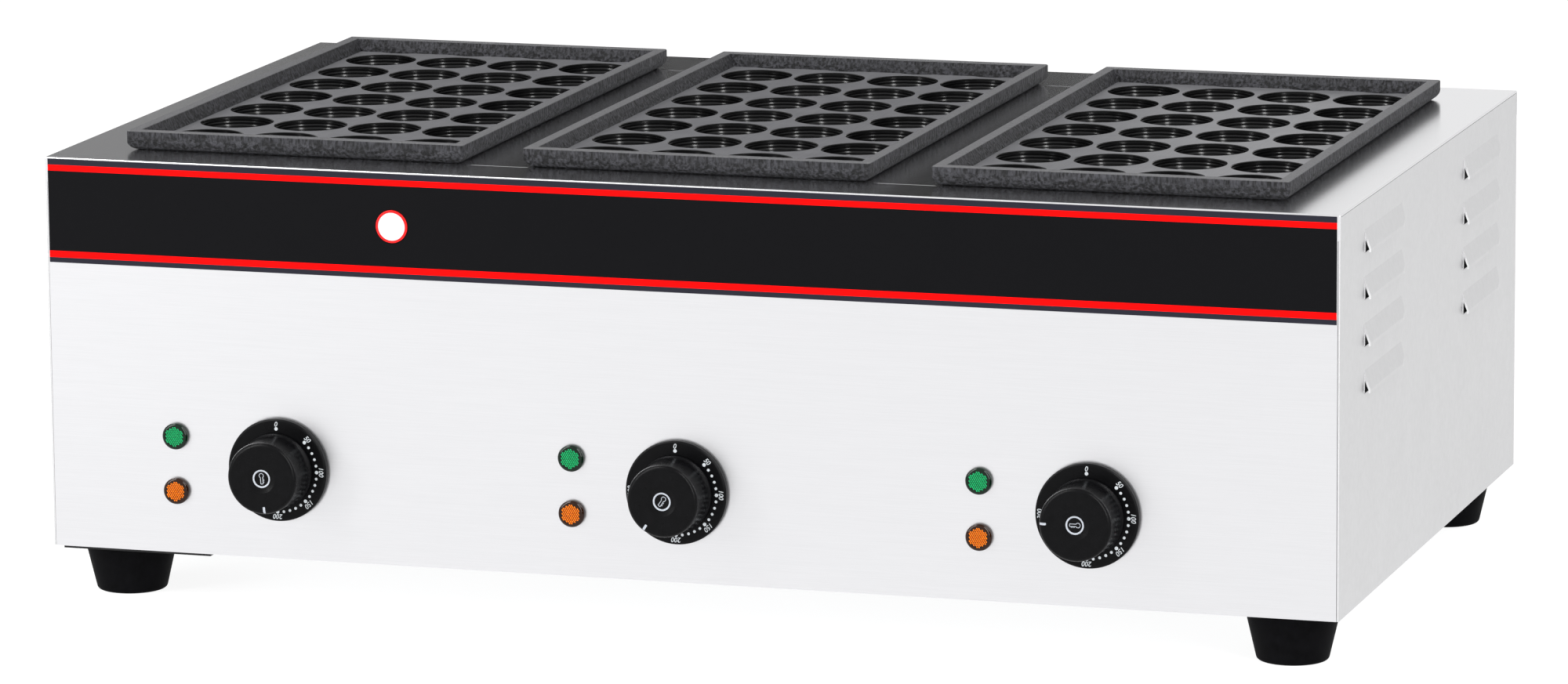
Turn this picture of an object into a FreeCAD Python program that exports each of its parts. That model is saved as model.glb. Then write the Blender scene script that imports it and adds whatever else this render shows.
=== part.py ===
"""Countertop takoyaki maker: a stainless cabinet with three lift-off cast plates over tube heaters.

Frame: millimetres, +X to the cook's right, +Y to the back, +Z up.  The origin is on the table, under
the middle of the cabinet.  Names ending in left, centre and right follow +X.
"""
import FreeCAD, Part
import Sketcher
import math
import os
import re
from FreeCAD import Vector

# Driving dimensions: alias, value in millimetres (or a count), what it is.
DIMENSIONS = [
    ("body_width", 690, "cabinet width over the side panels"),
    ("body_depth", 405, "cabinet depth, front face to back face"),
    ("body_height", 206, "cabinet height, bottom edge to deck"),
    ("foot_height", 27.3, "table to the bottom edge of the cabinet"),
    ("sheet", 1, "stainless sheet thickness"),
    ("panel_gap", 0.25, "joint left between two neighbouring panels"),
    ("deck_skirt", 13, "height of the deck's folded skirts"),
    ("deck_fold", 0.7, "outside radius of the deck's folds"),
    ("side_fold", 0.7, "outside radius of the side panels' upright folds"),
    ("flange", 15, "width of the panels' inner flanges and folds"),
    ("flange_clear", 3, "gap between the flanges at a corner"),
    ("lap_reach", 8, "front panel's lap strip, below the deck's skirt"),
    ("divider_gap", 0.4, "joint left round a divider strip"),
    ("divider_edge", 0.5, "rounding of a divider strip's upper edges"),
    ("divider_notch", 8, "divider strips, past the deck's opening at the front"),
    ("divider_tab", 12, "divider strips' joggled tabs, under the deck"),
    ("divider_tab_width", 24, "width of the divider strips' tabs"),
    ("zone_pitch", 218.5, "spacing of the three cooking zones"),
    ("plate_shift", -4, "centre of the plates, in front of the cabinet's centre"),
    ("plate_width", 186, "cooking plate width over the rim"),
    ("plate_length", 336, "cooking plate length over the rim"),
    ("rim_rise", 10.3, "rim top above the deck"),
    ("rim_straight", 5.2, "height of the rim's upright upper wall"),
    ("rim_tuck", 5, "how far the outer wall curves in at the deck"),
    ("rim_top", 6, "width of the rim's flat top"),
    ("rim_foot", 9, "rim width where its inner wall meets the floor"),
    ("floor_rise", 3.5, "cooking floor above the deck"),
    ("base_inset", 9.2, "inset of the plate's base, which drops through the deck"),
    ("base_play", 0.4, "gap between the plate's base and the deck's opening"),
    ("base_drop", 2.5, "base slab below the deck"),
    ("plate_corner", 1.2, "radius of the rim's upright corners"),
    ("rim_edge", 0.7, "radius of the rim's top edges"),
    ("cup_columns", 4, "cups across one plate"),
    ("cup_rows", 7, "cups from front to back"),
    ("cup_pitch_across", 41.5, "cup spacing across"),
    ("cup_pitch_along", 44, "cup spacing front to back"),
    ("cup_radius", 19.25, "cup mouth radius"),
    ("cup_step", 0.85, "width of the turned step under the mouth"),
    ("cup_neck", 1.6, "depth of the straight mouth above the step"),
    ("cup_wall", 4, "iron left around a cup"),
    ("cup_bevel", 0.4, "bevel where a cup's mouth meets the floor"),
    ("tube_radius", 4, "heating tube radius"),
    ("tube_drop", 27, "heating tube axis below the deck"),
    ("tube_reach", 112, "half length of the heater's straight runs"),
    ("pin_radius", 1.8, "heating tube's terminal pin"),
    ("pin_length", 10, "length of the terminal pins"),
    ("tray_half_width", 88, "heat tray, half width"),
    ("tray_half_length", 161, "heat tray, half length"),
    ("tray_depth", 45, "heat tray floor below the deck"),
    ("tray_sheet", 0.8, "heat tray sheet thickness"),
    ("tray_lip", 7, "width of the heat tray's hanging flanges"),
    ("rest_spacing", 60, "element rests, each side of the plate's centre"),
    ("rest_width", 14, "width of a rest's cross bar"),
    ("rest_post", 7, "width of the post under the sensor bulb"),
    ("bulb_radius", 3, "sensor bulb radius"),
    ("bulb_half_length", 70, "sensor bulb, half length"),
    ("bulb_drop", 14, "sensor bulb axis below the deck"),
    ("capillary_radius", 1, "capillary tube radius"),
    ("capillary_bend", 18, "radius of the capillary's bend"),
    ("dial_pitch", 217, "spacing of the three dials"),
    ("dial_shift", -1, "middle dial, off the middle of the cabinet"),
    ("dial_height", 47.5, "dial centres above the cabinet's bottom edge"),
    ("bezel_radius", 27, "dial scale disc radius"),
    ("bezel_thickness", 4, "dial scale disc thickness"),
    ("knob_gap", 0.4, "air between the scale disc and the knob"),
    ("knob_base_radius", 19.8, "knob's foot"),
    ("knob_radius", 18.8, "knob's grip"),
    ("knob_height", 22.6, "knob height above its foot"),
    ("knob_edge", 2.2, "upright edge of the knob's foot"),
    ("knob_neck", 5.3, "height of the sweep from the foot to the grip"),
    ("knob_brow", 2.4, "rounding of the knob's front edge"),
    ("dish_radius", 7.6, "dished centre of the knob, radius"),
    ("dish_depth", 1.1, "dished centre of the knob, depth"),
    ("knob_socket", 14.5, "depth of the knob's socket for the spindle"),
    ("spindle_radius", 3, "thermostat spindle radius"),
    ("spindle_play", 0.05, "running clearance round the spindle"),
    ("thermostat_width", 36, "thermostat housing, width"),
    ("thermostat_height", 40, "thermostat housing, height"),
    ("thermostat_depth", 32, "thermostat housing, depth behind the panel"),
    ("thermostat_bush", 5.4, "radius of the bush round the spindle"),
    ("screw_spacing", 14, "thermostat screws, each side of the spindle"),
    ("screw_radius", 2, "stem of the panel and thermostat screws"),
    ("lamp_offset", 57, "lamps, left of each dial"),
    ("lamp_low", 33, "amber lamp above the cabinet's bottom edge"),
    ("lamp_high", 62, "green lamp above the cabinet's bottom edge"),
    ("lens_radius", 7, "pilot lamp lens radius"),
    ("lens_collar", 2.2, "lens collar, standing out from the panel"),
    ("lens_window", 1.3, "raised centre of the lens above its collar"),
    ("lamp_hole", 5.2, "radius of the lamp holes"),
    ("lamp_shell", 1.4, "wall of a lamp holder"),
    ("lamp_length", 26, "length of a lamp holder"),
    ("label_low", 150.7, "label's lower edge above the cabinet's bottom edge"),
    ("label_high", 205.2, "label's upper edge above the cabinet's bottom edge"),
    ("label_margin", 1.7, "bare metal at each end of the label"),
    ("label_film", 0.3, "thickness of the label's film"),
    ("louvre_length", 81, "side louvre length"),
    ("louvre_height", 11.5, "side louvre height"),
    ("louvre_lip", 1.7, "height of a louvre's outermost edge"),
    ("louvre_rise", 3, "how far a louvre's hood stands out"),
    ("louvre_skin", 0.8, "metal left over a louvre's hood"),
    ("louvre_low", 106.5, "lowest louvre above the cabinet's bottom edge"),
    ("louvre_pitch", 24, "louvre spacing up the panel"),
    ("louvre_front", -110, "middle of the front column of louvres"),
    ("louvre_back", 113.5, "middle of the back column of louvres"),
    ("corner_plate", 82, "side of the square plates above the left feet"),
    ("corner_plate_inset", 4, "left corner plates, in from the cabinet's edges"),
    ("small_corner_plate", 44, "side of the square plates above the right feet"),
    ("corner_plate_thickness", 2, "corner plate thickness"),
    ("foot_inset", 31, "foot centres, in from the sides"),
    ("foot_inset_front", 31, "foot centres, in from the front and the back"),
    ("foot_top_radius", 24.1, "rubber foot, top radius"),
    ("foot_bottom_radius", 18.2, "rubber foot, bottom radius"),
    ("foot_roll", 1.7, "rounding of the foot's lower edge"),
    ("foot_well", 8, "depth of the counterbore for the foot's screw"),
    ("foot_well_radius", 7, "radius of that counterbore"),
    ("foot_screw", 2.5, "foot screw, stem radius"),
    ("back_screw_side", 9, "back panel screws, in from the sides"),
    ("back_screw_end", 12, "back panel screws, in from the top and the bottom"),
    ("vent_width", 5, "width of a vent slot"),
    ("back_vent_length", 46, "height of a vent slot in the back"),
    ("back_vent_low", 116, "back vent slots above the cabinet's bottom edge"),
    ("floor_vent_length", 40, "length of a vent slot in the floor"),
    ("floor_vent_pitch", 140, "spacing of the two rows of floor slots"),
    ("gland_x", -250, "cable gland across the back"),
    ("gland_height", 45, "cable gland above the cabinet's bottom edge"),
    ("gland_radius", 12, "cable gland's outer radius"),
    ("gland_hex_radius", 13, "cable gland's hexagon, over the corners"),
    ("gland_hex", 6, "thickness of the gland's hexagon"),
    ("gland_thread", 8, "radius of the gland's thread"),
    ("gland_thread_length", 9, "length of the gland's thread"),
    ("gland_bore", 5, "radius of the gland's bore"),
    ("locknut", 4, "thickness of the gland's locknut"),
    ("stud_offset", 50, "earth stud, beside the gland"),
    ("stud_radius", 2.5, "earth stud radius"),
    ("stud_reach", 12, "earth stud, out from each side of the back"),
    ("nut_radius", 4.6, "radius of the small nuts"),
    ("nut_height", 4, "height of the small nuts"),
    ("terminal_width", 86, "terminal block, width"),
    ("terminal_depth", 30, "terminal block, front to back"),
    ("terminal_height", 24, "terminal block, height"),
    ("terminal_pitch", 20, "spacing of the terminals"),
    ("loom_radius", 3, "sleeved leads, radius"),
    ("loom_bend", 12, "sleeved leads, bend radius"),
]
ZONES = (("left", -1), ("centre", 0), ("right", 1))
SIDES = (("left", -1), ("right", 1))
SQUARE_CORNERS = [(x, y) for x in (-1, 1) for y in (-1, 1)]
ARC_MIDDLE = math.sqrt(0.5)  # the middle of a quarter circle, along each of its two radii
TOUCHING = 1e-6  # two heights this close are the same

doc = FreeCAD.newDocument("takoyaki_maker")
sheet = doc.addObject("Spreadsheet::Sheet", "dimensions")
for row, (alias, number, meaning) in enumerate(DIMENSIONS, start=1):
    sheet.set(f"A{row}", meaning)
    sheet.set(f"B{row}", str(number))
    sheet.setAlias(f"B{row}", alias)
doc.recompute()
parts = []


# ---- helpers: every size below is an expression in the sheet's aliases ----
def bound(expression):
    """The expression with each alias written as a reference to the sheet."""
    return re.sub(r"\b([a-z][a-z_]+)\b", r"dimensions.\1", str(expression))


def value(expression):
    return float(sheet.evalExpression(bound(expression)))


def bind(thing, path, expression):
    thing.setExpression(path, bound(expression))


def new_part(name, x="0", y="0", z="0"):
    """An empty body that will be one named piece, placed by sheet expressions."""
    body = doc.addObject("PartDesign::Body", name)
    body.Label = name
    for axis, expression in zip("xyz", (x, y, z)):
        bind(body, f"Placement.Base.{axis}", expression)
    parts.append(body)
    return body


def new_sketch(body, role="XY_Plane", lift="0"):
    """A sketch on one of the body's own planes, lifted along the plane's normal.

    XY: right is +X, up is +Y, normal +Z.  XZ: right is +X, up is +Z, normal -Y.
    YZ: right is +Y, up is +Z, normal +X.
    """
    plane = next(p for p in body.Origin.OriginFeatures if p.Role == role)
    sketch = body.newObject("Sketcher::SketchObject", body.Name + "_sketch")
    sketch.AttachmentSupport = [(plane, "")]
    sketch.MapMode = "FlatFace"
    bind(sketch, "AttachmentOffset.Base.z", lift)
    return sketch


def add_rectangle(sketch, low_x, low_y, width, height):
    """A constrained rectangle from its lower left corner and its size."""
    left, bottom, wide, high = (value(e) for e in (low_x, low_y, width, height))
    corners = [Vector(left, bottom, 0), Vector(left + wide, bottom, 0),
               Vector(left + wide, bottom + high, 0), Vector(left, bottom + high, 0)]
    first = sketch.GeometryCount
    for a, b in zip(corners, corners[1:] + corners[:1]):
        sketch.addGeometry(Part.LineSegment(a, b))
    for side in range(4):
        following = first + (side + 1) % 4
        sketch.addConstraint(Sketcher.Constraint("Coincident", first + side, 2, following, 1))
        kind = "Horizontal" if side % 2 == 0 else "Vertical"
        sketch.addConstraint(Sketcher.Constraint(kind, first + side))
    sized = [("DistanceX", (-1, 1, first, 1), left, low_x),
             ("DistanceY", (-1, 1, first, 1), bottom, low_y),
             ("DistanceX", (first, 1, first, 2), wide, width),
             ("DistanceY", (first + 1, 1, first + 1, 2), high, height)]
    for kind, ends, number, expression in sized:
        if abs(number) < TOUCHING:
            axis = -2 if kind == "DistanceX" else -1
            sketch.addConstraint(Sketcher.Constraint("PointOnObject", first, 1, axis))
            continue
        index = sketch.addConstraint(Sketcher.Constraint(kind, *ends, number))
        bind(sketch, f"Constraints[{index}]", expression)


def add_middle_rectangle(sketch, width, height, middle_x="0", middle_y="0"):
    add_rectangle(sketch, f"{middle_x} - ({width}) / 2", f"{middle_y} - ({height}) / 2", width, height)


def add_circle(sketch, x, y, radius):
    """A constrained circle; a centre on an axis is held there."""
    centre = (value(x), value(y))
    ring = sketch.addGeometry(Part.Circle(Vector(*centre, 0), Vector(0, 0, 1), value(radius)))
    index = sketch.addConstraint(Sketcher.Constraint("Radius", ring, value(radius)))
    bind(sketch, f"Constraints[{index}]", radius)
    offsets = (("DistanceX", centre[0], x, -2), ("DistanceY", centre[1], y, -1))
    for kind, number, expression, axis in offsets:
        if abs(number) < TOUCHING:
            sketch.addConstraint(Sketcher.Constraint("PointOnObject", ring, 3, axis))
            continue
        index = sketch.addConstraint(Sketcher.Constraint(kind, -1, 1, ring, 3, number))
        bind(sketch, f"Constraints[{index}]", expression)


def add_polygon(sketch, points):
    """A closed outline of straight lines through the points."""
    for start, end in zip(points, points[1:] + points[:1]):
        sketch.addGeometry(Part.LineSegment(start, end))


def pad(body, sketch, length, backward=False):
    feature = body.newObject("PartDesign::Pad", body.Name + "_pad")
    feature.Profile = sketch
    feature.Reversed = backward
    bind(feature, "Length", length)
    doc.recompute()
    return feature


def pocket(body, sketch, depth, forward=False):
    """Cuts against the sketch's normal, or along it when forward; refuses to cut nothing."""
    before = body.Shape.Volume
    feature = body.newObject("PartDesign::Pocket", body.Name + "_pocket")
    feature.Profile = sketch
    feature.Reversed = forward
    bind(feature, "Length", depth)
    doc.recompute()
    if body.Shape.Volume > before - TOUCHING:
        raise RuntimeError(f"{body.Label}: a pocket cut nothing")
    return feature


def spin(body, sketch, kind):
    """A full turn of the sketch about its upright axis, added (Revolution) or cut away (Groove)."""
    feature = body.newObject("PartDesign::" + kind, body.Name + "_" + kind.lower())
    feature.Profile = sketch
    feature.ReferenceAxis = (sketch, ["V_Axis"])
    feature.Angle = 360
    doc.recompute()
    return feature


def loft(body, kind, sketches, straight=True):
    feature = body.newObject("PartDesign::" + kind, body.Name + "_loft")
    feature.Profile = sketches[0]
    feature.Sections = sketches[1:]
    feature.Ruled = straight
    doc.recompute()
    return feature


def repeat(body, originals, axes_sketch, across=("1", "0"), up=("1", "0")):
    """A grid of copies along the sketch's two axes, each given as (count, length covered)."""
    feature = body.newObject("PartDesign::LinearPattern", body.Name + "_pattern")
    feature.Originals = originals
    feature.Direction = (axes_sketch, ["H_Axis"])
    bind(feature, "Occurrences", across[0])
    bind(feature, "Length", across[1])
    if up[0] != "1":
        feature.Direction2 = (axes_sketch, ["V_Axis"])
        bind(feature, "Occurrences2", up[0])
        bind(feature, "Length2", up[1])
    body.Tip = feature
    doc.recompute()
    return feature


def fillet(body, radius, wanted):
    """Rounds the edges of the body's tip that the test picks."""
    tip = body.Tip
    names = [f"Edge{i}" for i, edge in enumerate(tip.Shape.Edges, start=1) if wanted(edge)]
    feature = body.newObject("PartDesign::Fillet", body.Name + "_fillet")
    feature.Base = (tip, names)
    bind(feature, "Radius", radius)
    doc.recompute()
    return feature


def is_upright(edge):
    box = edge.BoundBox
    return box.XLength < TOUCHING and box.YLength < TOUCHING


def lies_at(edge, height):
    box = edge.BoundBox
    return abs(box.ZMin - height) < TOUCHING and abs(box.ZMax - height) < TOUCHING


def lies_below(edge, height):
    """Between the body's own plane and the height, so not on what hangs under the plane."""
    return edge.BoundBox.ZMin > -TOUCHING and edge.BoundBox.ZMax < height + TOUCHING


def zone_x(step):
    return f"{step} * zone_pitch"


def dial_x(step):
    return f"({step} * dial_pitch + dial_shift)"


# ---- the cabinet's shell ----
DECK_TOP = "(foot_height + body_height)"
SKIRT_EDGE = "(foot_height + body_height - deck_skirt)"
OPENING_HALF_WIDTH = "(zone_pitch + plate_width / 2 - base_inset)"
OPENING_HALF_LENGTH = "(plate_length / 2 - base_inset)"
DIVIDER_HALF_WIDTH = "((zone_pitch - plate_width) / 2 + base_inset)"
FLANGE_INSET = "(flange + flange_clear)"
LAP_LOW = "(body_height - deck_skirt - lap_reach)"
LAP_HEIGHT = "(deck_skirt + lap_reach - 2 * sheet)"


def make_top_deck():
    """Deck folded down in front and behind, with one long opening and notches for the divider strips."""
    body = new_part("top_deck", z=SKIRT_EDGE)
    outline = new_sketch(body)
    add_middle_rectangle(outline, "body_width", "body_depth")
    pad(body, outline, "deck_skirt")
    top = value("deck_skirt")
    fillet(body, "deck_fold", lambda edge: is_upright(edge) or lies_at(edge, top))
    hollow = new_sketch(body)
    add_middle_rectangle(hollow, "body_width + 2", "body_depth - 2 * sheet")
    pocket(body, hollow, "deck_skirt - sheet", forward=True)
    opening = new_sketch(body)
    add_middle_rectangle(opening, f"2 * {OPENING_HALF_WIDTH}", f"2 * {OPENING_HALF_LENGTH}",
                         middle_y="plate_shift")
    pocket(body, opening, "deck_skirt + 1", forward=True)
    notches = new_sketch(body)
    for _, side in SIDES:
        add_rectangle(notches, f"{side} * zone_pitch / 2 - {DIVIDER_HALF_WIDTH}",
                      f"plate_shift - {OPENING_HALF_LENGTH} - divider_notch",
                      f"2 * {DIVIDER_HALF_WIDTH}", "divider_notch + 1")
    pocket(body, notches, "deck_skirt + 1", forward=True)


def make_divider(name, side):
    """Flush strip between two plates, with a joggled tab under the deck at each end."""
    body = new_part(f"divider_strip_{name}", x=f"{side} * zone_pitch / 2", y="plate_shift",
                    z=f"{DECK_TOP} - sheet")
    front = f"(-{OPENING_HALF_LENGTH} - divider_notch)"
    strip = new_sketch(body)
    add_rectangle(strip, f"-{DIVIDER_HALF_WIDTH} + divider_gap", f"{front} + divider_gap",
                  f"2 * {DIVIDER_HALF_WIDTH} - 2 * divider_gap",
                  f"2 * {OPENING_HALF_LENGTH} + divider_notch - 2 * divider_gap")
    pad(body, strip, "sheet")
    top = value("sheet")
    fillet(body, "divider_edge", lambda edge: lies_at(edge, top))
    tabs = new_sketch(body)
    hold = "2 * sheet"
    for low in (f"{front} - divider_tab", f"{OPENING_HALF_LENGTH} - {hold}"):
        add_rectangle(tabs, "-divider_tab_width / 2", low, "divider_tab_width", f"divider_tab + {hold}")
    pad(body, tabs, "sheet", backward=True)


def make_front_panel():
    """Front sheet with the dial and lamp holes, a bottom flange and a lap strip behind the deck's skirt."""
    body = new_part("front_panel", y="-body_depth / 2", z="foot_height")
    face = new_sketch(body, "XZ_Plane")
    add_rectangle(face, "-body_width / 2 + sheet + panel_gap", "0",
                  "body_width - 2 * sheet - 2 * panel_gap", "body_height - deck_skirt")
    pad(body, face, "sheet", backward=True)
    foot = new_sketch(body)
    add_rectangle(foot, f"-body_width / 2 + {FLANGE_INSET}", "0",
                  f"body_width - 2 * {FLANGE_INSET}", "flange")
    pad(body, foot, "sheet")
    lap = new_sketch(body, "XZ_Plane", lift="-sheet")
    add_rectangle(lap, f"-body_width / 2 + {FLANGE_INSET}", LAP_LOW,
                  f"body_width - 2 * {FLANGE_INSET}", LAP_HEIGHT)
    pad(body, lap, "sheet", backward=True)
    holes = new_sketch(body, "XZ_Plane")
    for _, step in ZONES:
        dial = dial_x(step)
        add_circle(holes, dial, "dial_height", "thermostat_bush + panel_gap + 0.05")
        for _, side in SIDES:
            add_circle(holes, f"{dial} + {side} * screw_spacing", "dial_height", "screw_radius + 0.2")
        for height in ("lamp_low", "lamp_high"):
            add_circle(holes, f"{dial} - lamp_offset", height, "lamp_hole")
    pocket(body, holes, "sheet")


BACK_SCREWS = [(x, z) for x in (-1, 1) for z in (0, 0.5, 1)]


def back_screw_spot(x, z):
    """A back panel screw: across as an expression, up from the cabinet's bottom edge."""
    across = f"{x} * (body_width / 2 - back_screw_side)"
    return across, f"back_screw_end + {z} * (body_height - deck_skirt - 2 * back_screw_end)"


def make_side_panel(name, side):
    """Side sheet up to the deck, with pressed louvres and folds behind the front and the back panel."""
    body = new_part(f"{name}_side_panel", x=f"{side} * body_width / 2", z="foot_height")
    inward = side > 0
    face = new_sketch(body, "YZ_Plane")
    add_rectangle(face, "-body_depth / 2 + panel_gap", "0",
                  "body_depth - 2 * panel_gap", "body_height - deck_skirt")
    pad(body, face, "sheet", backward=inward)
    upper = new_sketch(body, "YZ_Plane")
    add_rectangle(upper, "-body_depth / 2 + sheet + panel_gap", "body_height - deck_skirt",
                  "body_depth - 2 * sheet - 2 * panel_gap", "deck_skirt - sheet - panel_gap")
    pad(body, upper, "sheet", backward=inward)
    ends = new_sketch(body)
    fold_low = "-flange" if inward else "0"
    for low in ("-body_depth / 2 + sheet", "body_depth / 2 - 2 * sheet"):
        add_rectangle(ends, fold_low, low, "flange", "sheet")
    pad(body, ends, "body_height - deck_skirt")
    foot = new_sketch(body)
    add_rectangle(foot, fold_low, f"-body_depth / 2 + {FLANGE_INSET}",
                  "flange", f"body_depth - 2 * {FLANGE_INSET}")
    pad(body, foot, "sheet")
    shelf = new_sketch(body, lift="body_height - 2 * sheet")
    shelf_low = "-flange" if inward else "sheet"
    add_rectangle(shelf, shelf_low, f"-body_depth / 2 + {FLANGE_INSET}",
                  "flange - sheet", f"body_depth - 2 * {FLANGE_INSET}")
    pad(body, shelf, "sheet")
    screws = new_sketch(body, "XZ_Plane", lift="-body_depth / 2 + 2 * sheet")
    for x, z in BACK_SCREWS:
        if x == side:
            across, up = back_screw_spot(x, z)
            add_circle(screws, f"{across} - {side} * body_width / 2", up, "screw_radius")
    pocket(body, screws, "sheet")
    fillet(body, "side_fold", lambda edge: is_upright(edge) and abs(edge.BoundBox.XMin) < TOUCHING)
    # One louvre: a hood that slopes out from its top edge, open underneath and at its front end, with
    # a long round at its back end.  Each outline gives its front and back insets.
    hood = []
    for out, front, back in ((0, 0, 0), (0.5, 0.2, 1), (0.8, 0.5, 3), (1, 1, 8)):
        hood.append(new_sketch(body, "YZ_Plane", f"{side} * {out} * louvre_rise"))
        add_rectangle(hood[-1], f"louvre_front - louvre_length / 2 + {front}", "louvre_low",
                      f"louvre_length - {front} - {back}",
                      f"louvre_height - {out} * (louvre_height - louvre_lip)")
    outer = loft(body, "AdditiveLoft", hood)
    hollow = []
    for lift, front, back, tall in ((f"-{side} * (sheet + 0.2)", 1, 1.2, "louvre_height - 0.6"),
                                    (f"{side} * (louvre_rise - louvre_skin)", -1, 8, "louvre_lip + 0.4")):
        hollow.append(new_sketch(body, "YZ_Plane", lift))
        add_rectangle(hollow[-1], f"louvre_front - louvre_length / 2 + {front}", "louvre_low - 0.4",
                      f"louvre_length - {front} - {back}", tall)
    inner = loft(body, "SubtractiveLoft", hollow)
    repeat(body, [outer, inner], hood[0], across=("2", "louvre_back - louvre_front"),
           up=("4", "3 * louvre_pitch"))


def make_back_panel():
    """Screwed-on back sheet with vent slots and the cable gland's hole."""
    body = new_part("back_panel", y="body_depth / 2", z="foot_height")
    face = new_sketch(body, "XZ_Plane")
    add_rectangle(face, "-body_width / 2 + sheet + panel_gap", "0",
                  "body_width - 2 * sheet - 2 * panel_gap", "body_height - deck_skirt - panel_gap")
    pad(body, face, "sheet")
    holes = new_sketch(body, "XZ_Plane", lift="sheet")
    for x, z in BACK_SCREWS:
        add_circle(holes, *back_screw_spot(x, z), "screw_radius")
    add_circle(holes, "gland_x", "gland_height", "gland_thread + 0.2")
    add_circle(holes, "gland_x + stud_offset", "gland_height", "stud_radius + 0.1")
    pocket(body, holes, "sheet")
    slot = new_sketch(body, "XZ_Plane", lift="sheet")
    margin = "60"
    add_rectangle(slot, f"-body_width / 2 + {margin}", "back_vent_low", "vent_width", "back_vent_length")
    cut = pocket(body, slot, "sheet")
    repeat(body, [cut], slot, across=("20", f"body_width - 2 * {margin} - vent_width"))


def foot_spot(x, y):
    """A foot's centre under one corner, as expressions."""
    return f"{x} * (body_width / 2 - foot_inset)", f"{y} * (body_depth / 2 - foot_inset_front)"


def make_bottom_plate():
    """Floor sheet resting on the panels' flanges, with rows of vent slots."""
    body = new_part("bottom_plate", z="foot_height + sheet")
    face = new_sketch(body)
    add_middle_rectangle(face, "body_width - 2 * sheet - 2", "body_depth - 4 * sheet - 2")
    pad(body, face, "sheet")
    holes = new_sketch(body, lift="sheet")
    for x, y in SQUARE_CORNERS:
        add_circle(holes, *foot_spot(x, y), "foot_screw + 0.1")
    pocket(body, holes, "sheet")
    slot = new_sketch(body, lift="sheet")
    margin = "100"
    add_rectangle(slot, f"-body_width / 2 + {margin}", "-(floor_vent_pitch + floor_vent_length) / 2",
                  "vent_width", "floor_vent_length")
    cut = pocket(body, slot, "sheet")
    repeat(body, [cut], slot, across=("25", f"body_width - 2 * {margin} - vent_width"),
           up=("2", "floor_vent_pitch"))


def make_control_label():
    """Printed film over the upper front, across the joint under the deck's skirt."""
    body = new_part("control_label", y="-body_depth / 2", z="foot_height")
    film = new_sketch(body, "XZ_Plane")
    add_rectangle(film, "-body_width / 2 + label_margin", "label_low",
                  "body_width - 2 * label_margin", "label_high - label_low")
    pad(body, film, "label_film")


# ---- cooking zones ----
def make_cooking_plate(name, step):
    """Cast plate: raised rim, machined floor, 28 turned cups and their bosses underneath."""
    body = new_part(f"takoyaki_plate_{name}", x=zone_x(step), y="plate_shift", z=DECK_TOP)
    rim_turn = "(rim_rise - rim_straight)"
    wall = []
    for up, tucked in ((0, 1), (0.2, 0.5), (0.5, 0.2), (1, 0)):
        height = f"{up} * {rim_turn}"
        inset = f"{tucked} * rim_tuck"
        wall.append(new_sketch(body, lift=height))
        add_middle_rectangle(wall[-1], f"plate_width - 2 * {inset}", f"plate_length - 2 * {inset}")
    loft(body, "AdditiveLoft", wall, straight=False)
    block = new_sketch(body, lift=rim_turn)
    add_middle_rectangle(block, "plate_width", "plate_length")
    pad(body, block, "rim_straight")
    slab = new_sketch(body)
    base = ("plate_width - 2 * base_inset - 2 * base_play", "plate_length - 2 * base_inset - 2 * base_play")
    add_middle_rectangle(slab, *base)
    pad(body, slab, "base_drop", backward=True)
    rim_top = value("rim_rise")
    fillet(body, "plate_corner", lambda edge: is_upright(edge) and lies_below(edge, rim_top))
    basin = []
    for height, inset in (("rim_rise", "rim_top"), ("floor_rise", "rim_foot")):
        basin.append(new_sketch(body, lift=height))
        add_middle_rectangle(basin[-1], f"plate_width - 2 * {inset}", f"plate_length - 2 * {inset}")
    loft(body, "SubtractiveLoft", basin)
    fillet(body, "rim_edge", lambda edge: lies_at(edge, rim_top))
    # First cup at the front left; its profile stands on the cup's own upright axis.
    first_x = "-(cup_columns - 1) / 2 * cup_pitch_across"
    first_y = "-(cup_rows - 1) / 2 * cup_pitch_along"
    bowl = "(cup_radius - cup_step)"
    centre = "(floor_rise - cup_neck)"
    grid = dict(across=("cup_columns", "(cup_columns - 1) * cup_pitch_across"),
                up=("cup_rows", "(cup_rows - 1) * cup_pitch_along"))
    axes = new_sketch(body)
    trim = new_sketch(body)
    add_middle_rectangle(trim, "2 * plate_width", "2 * plate_length")
    add_middle_rectangle(trim, *base)
    for kind, radius in (("Revolution", f"({bowl} + cup_wall)"), ("Groove", bowl)):
        profile = new_sketch(body, "XZ_Plane", lift=f"-({first_y})")
        bind(profile, "AttachmentOffset.Base.x", first_x)
        low = f"{centre} - {radius}"
        arc_middle = Vector(ARC_MIDDLE * value(radius), value(centre) - ARC_MIDDLE * value(radius), 0)
        bottom = Vector(0, value(low), 0)
        side = Vector(value(radius), value(centre), 0)
        profile.addGeometry(Part.Arc(bottom, arc_middle, side))
        if kind == "Revolution":
            top = [side, Vector(0, side.y, 0), bottom]
        else:
            bevel = value("cup_bevel")
            mouth = value("cup_radius + cup_bevel / 2")
            neck = mouth - bevel
            floor = value("floor_rise")
            above = floor + bevel
            top = [side, Vector(neck, side.y, 0), Vector(neck, floor - bevel, 0), Vector(mouth, floor, 0),
                   Vector(mouth, above, 0), Vector(0, above, 0), bottom]
        for a, b in zip(top, top[1:]):
            profile.addGeometry(Part.LineSegment(a, b))
        repeat(body, [spin(body, profile, kind)], axes, **grid)
        if kind == "Revolution":
            pocket(body, trim, "cup_radius + cup_wall")


ELEMENT_RUNS = range(4)


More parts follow.
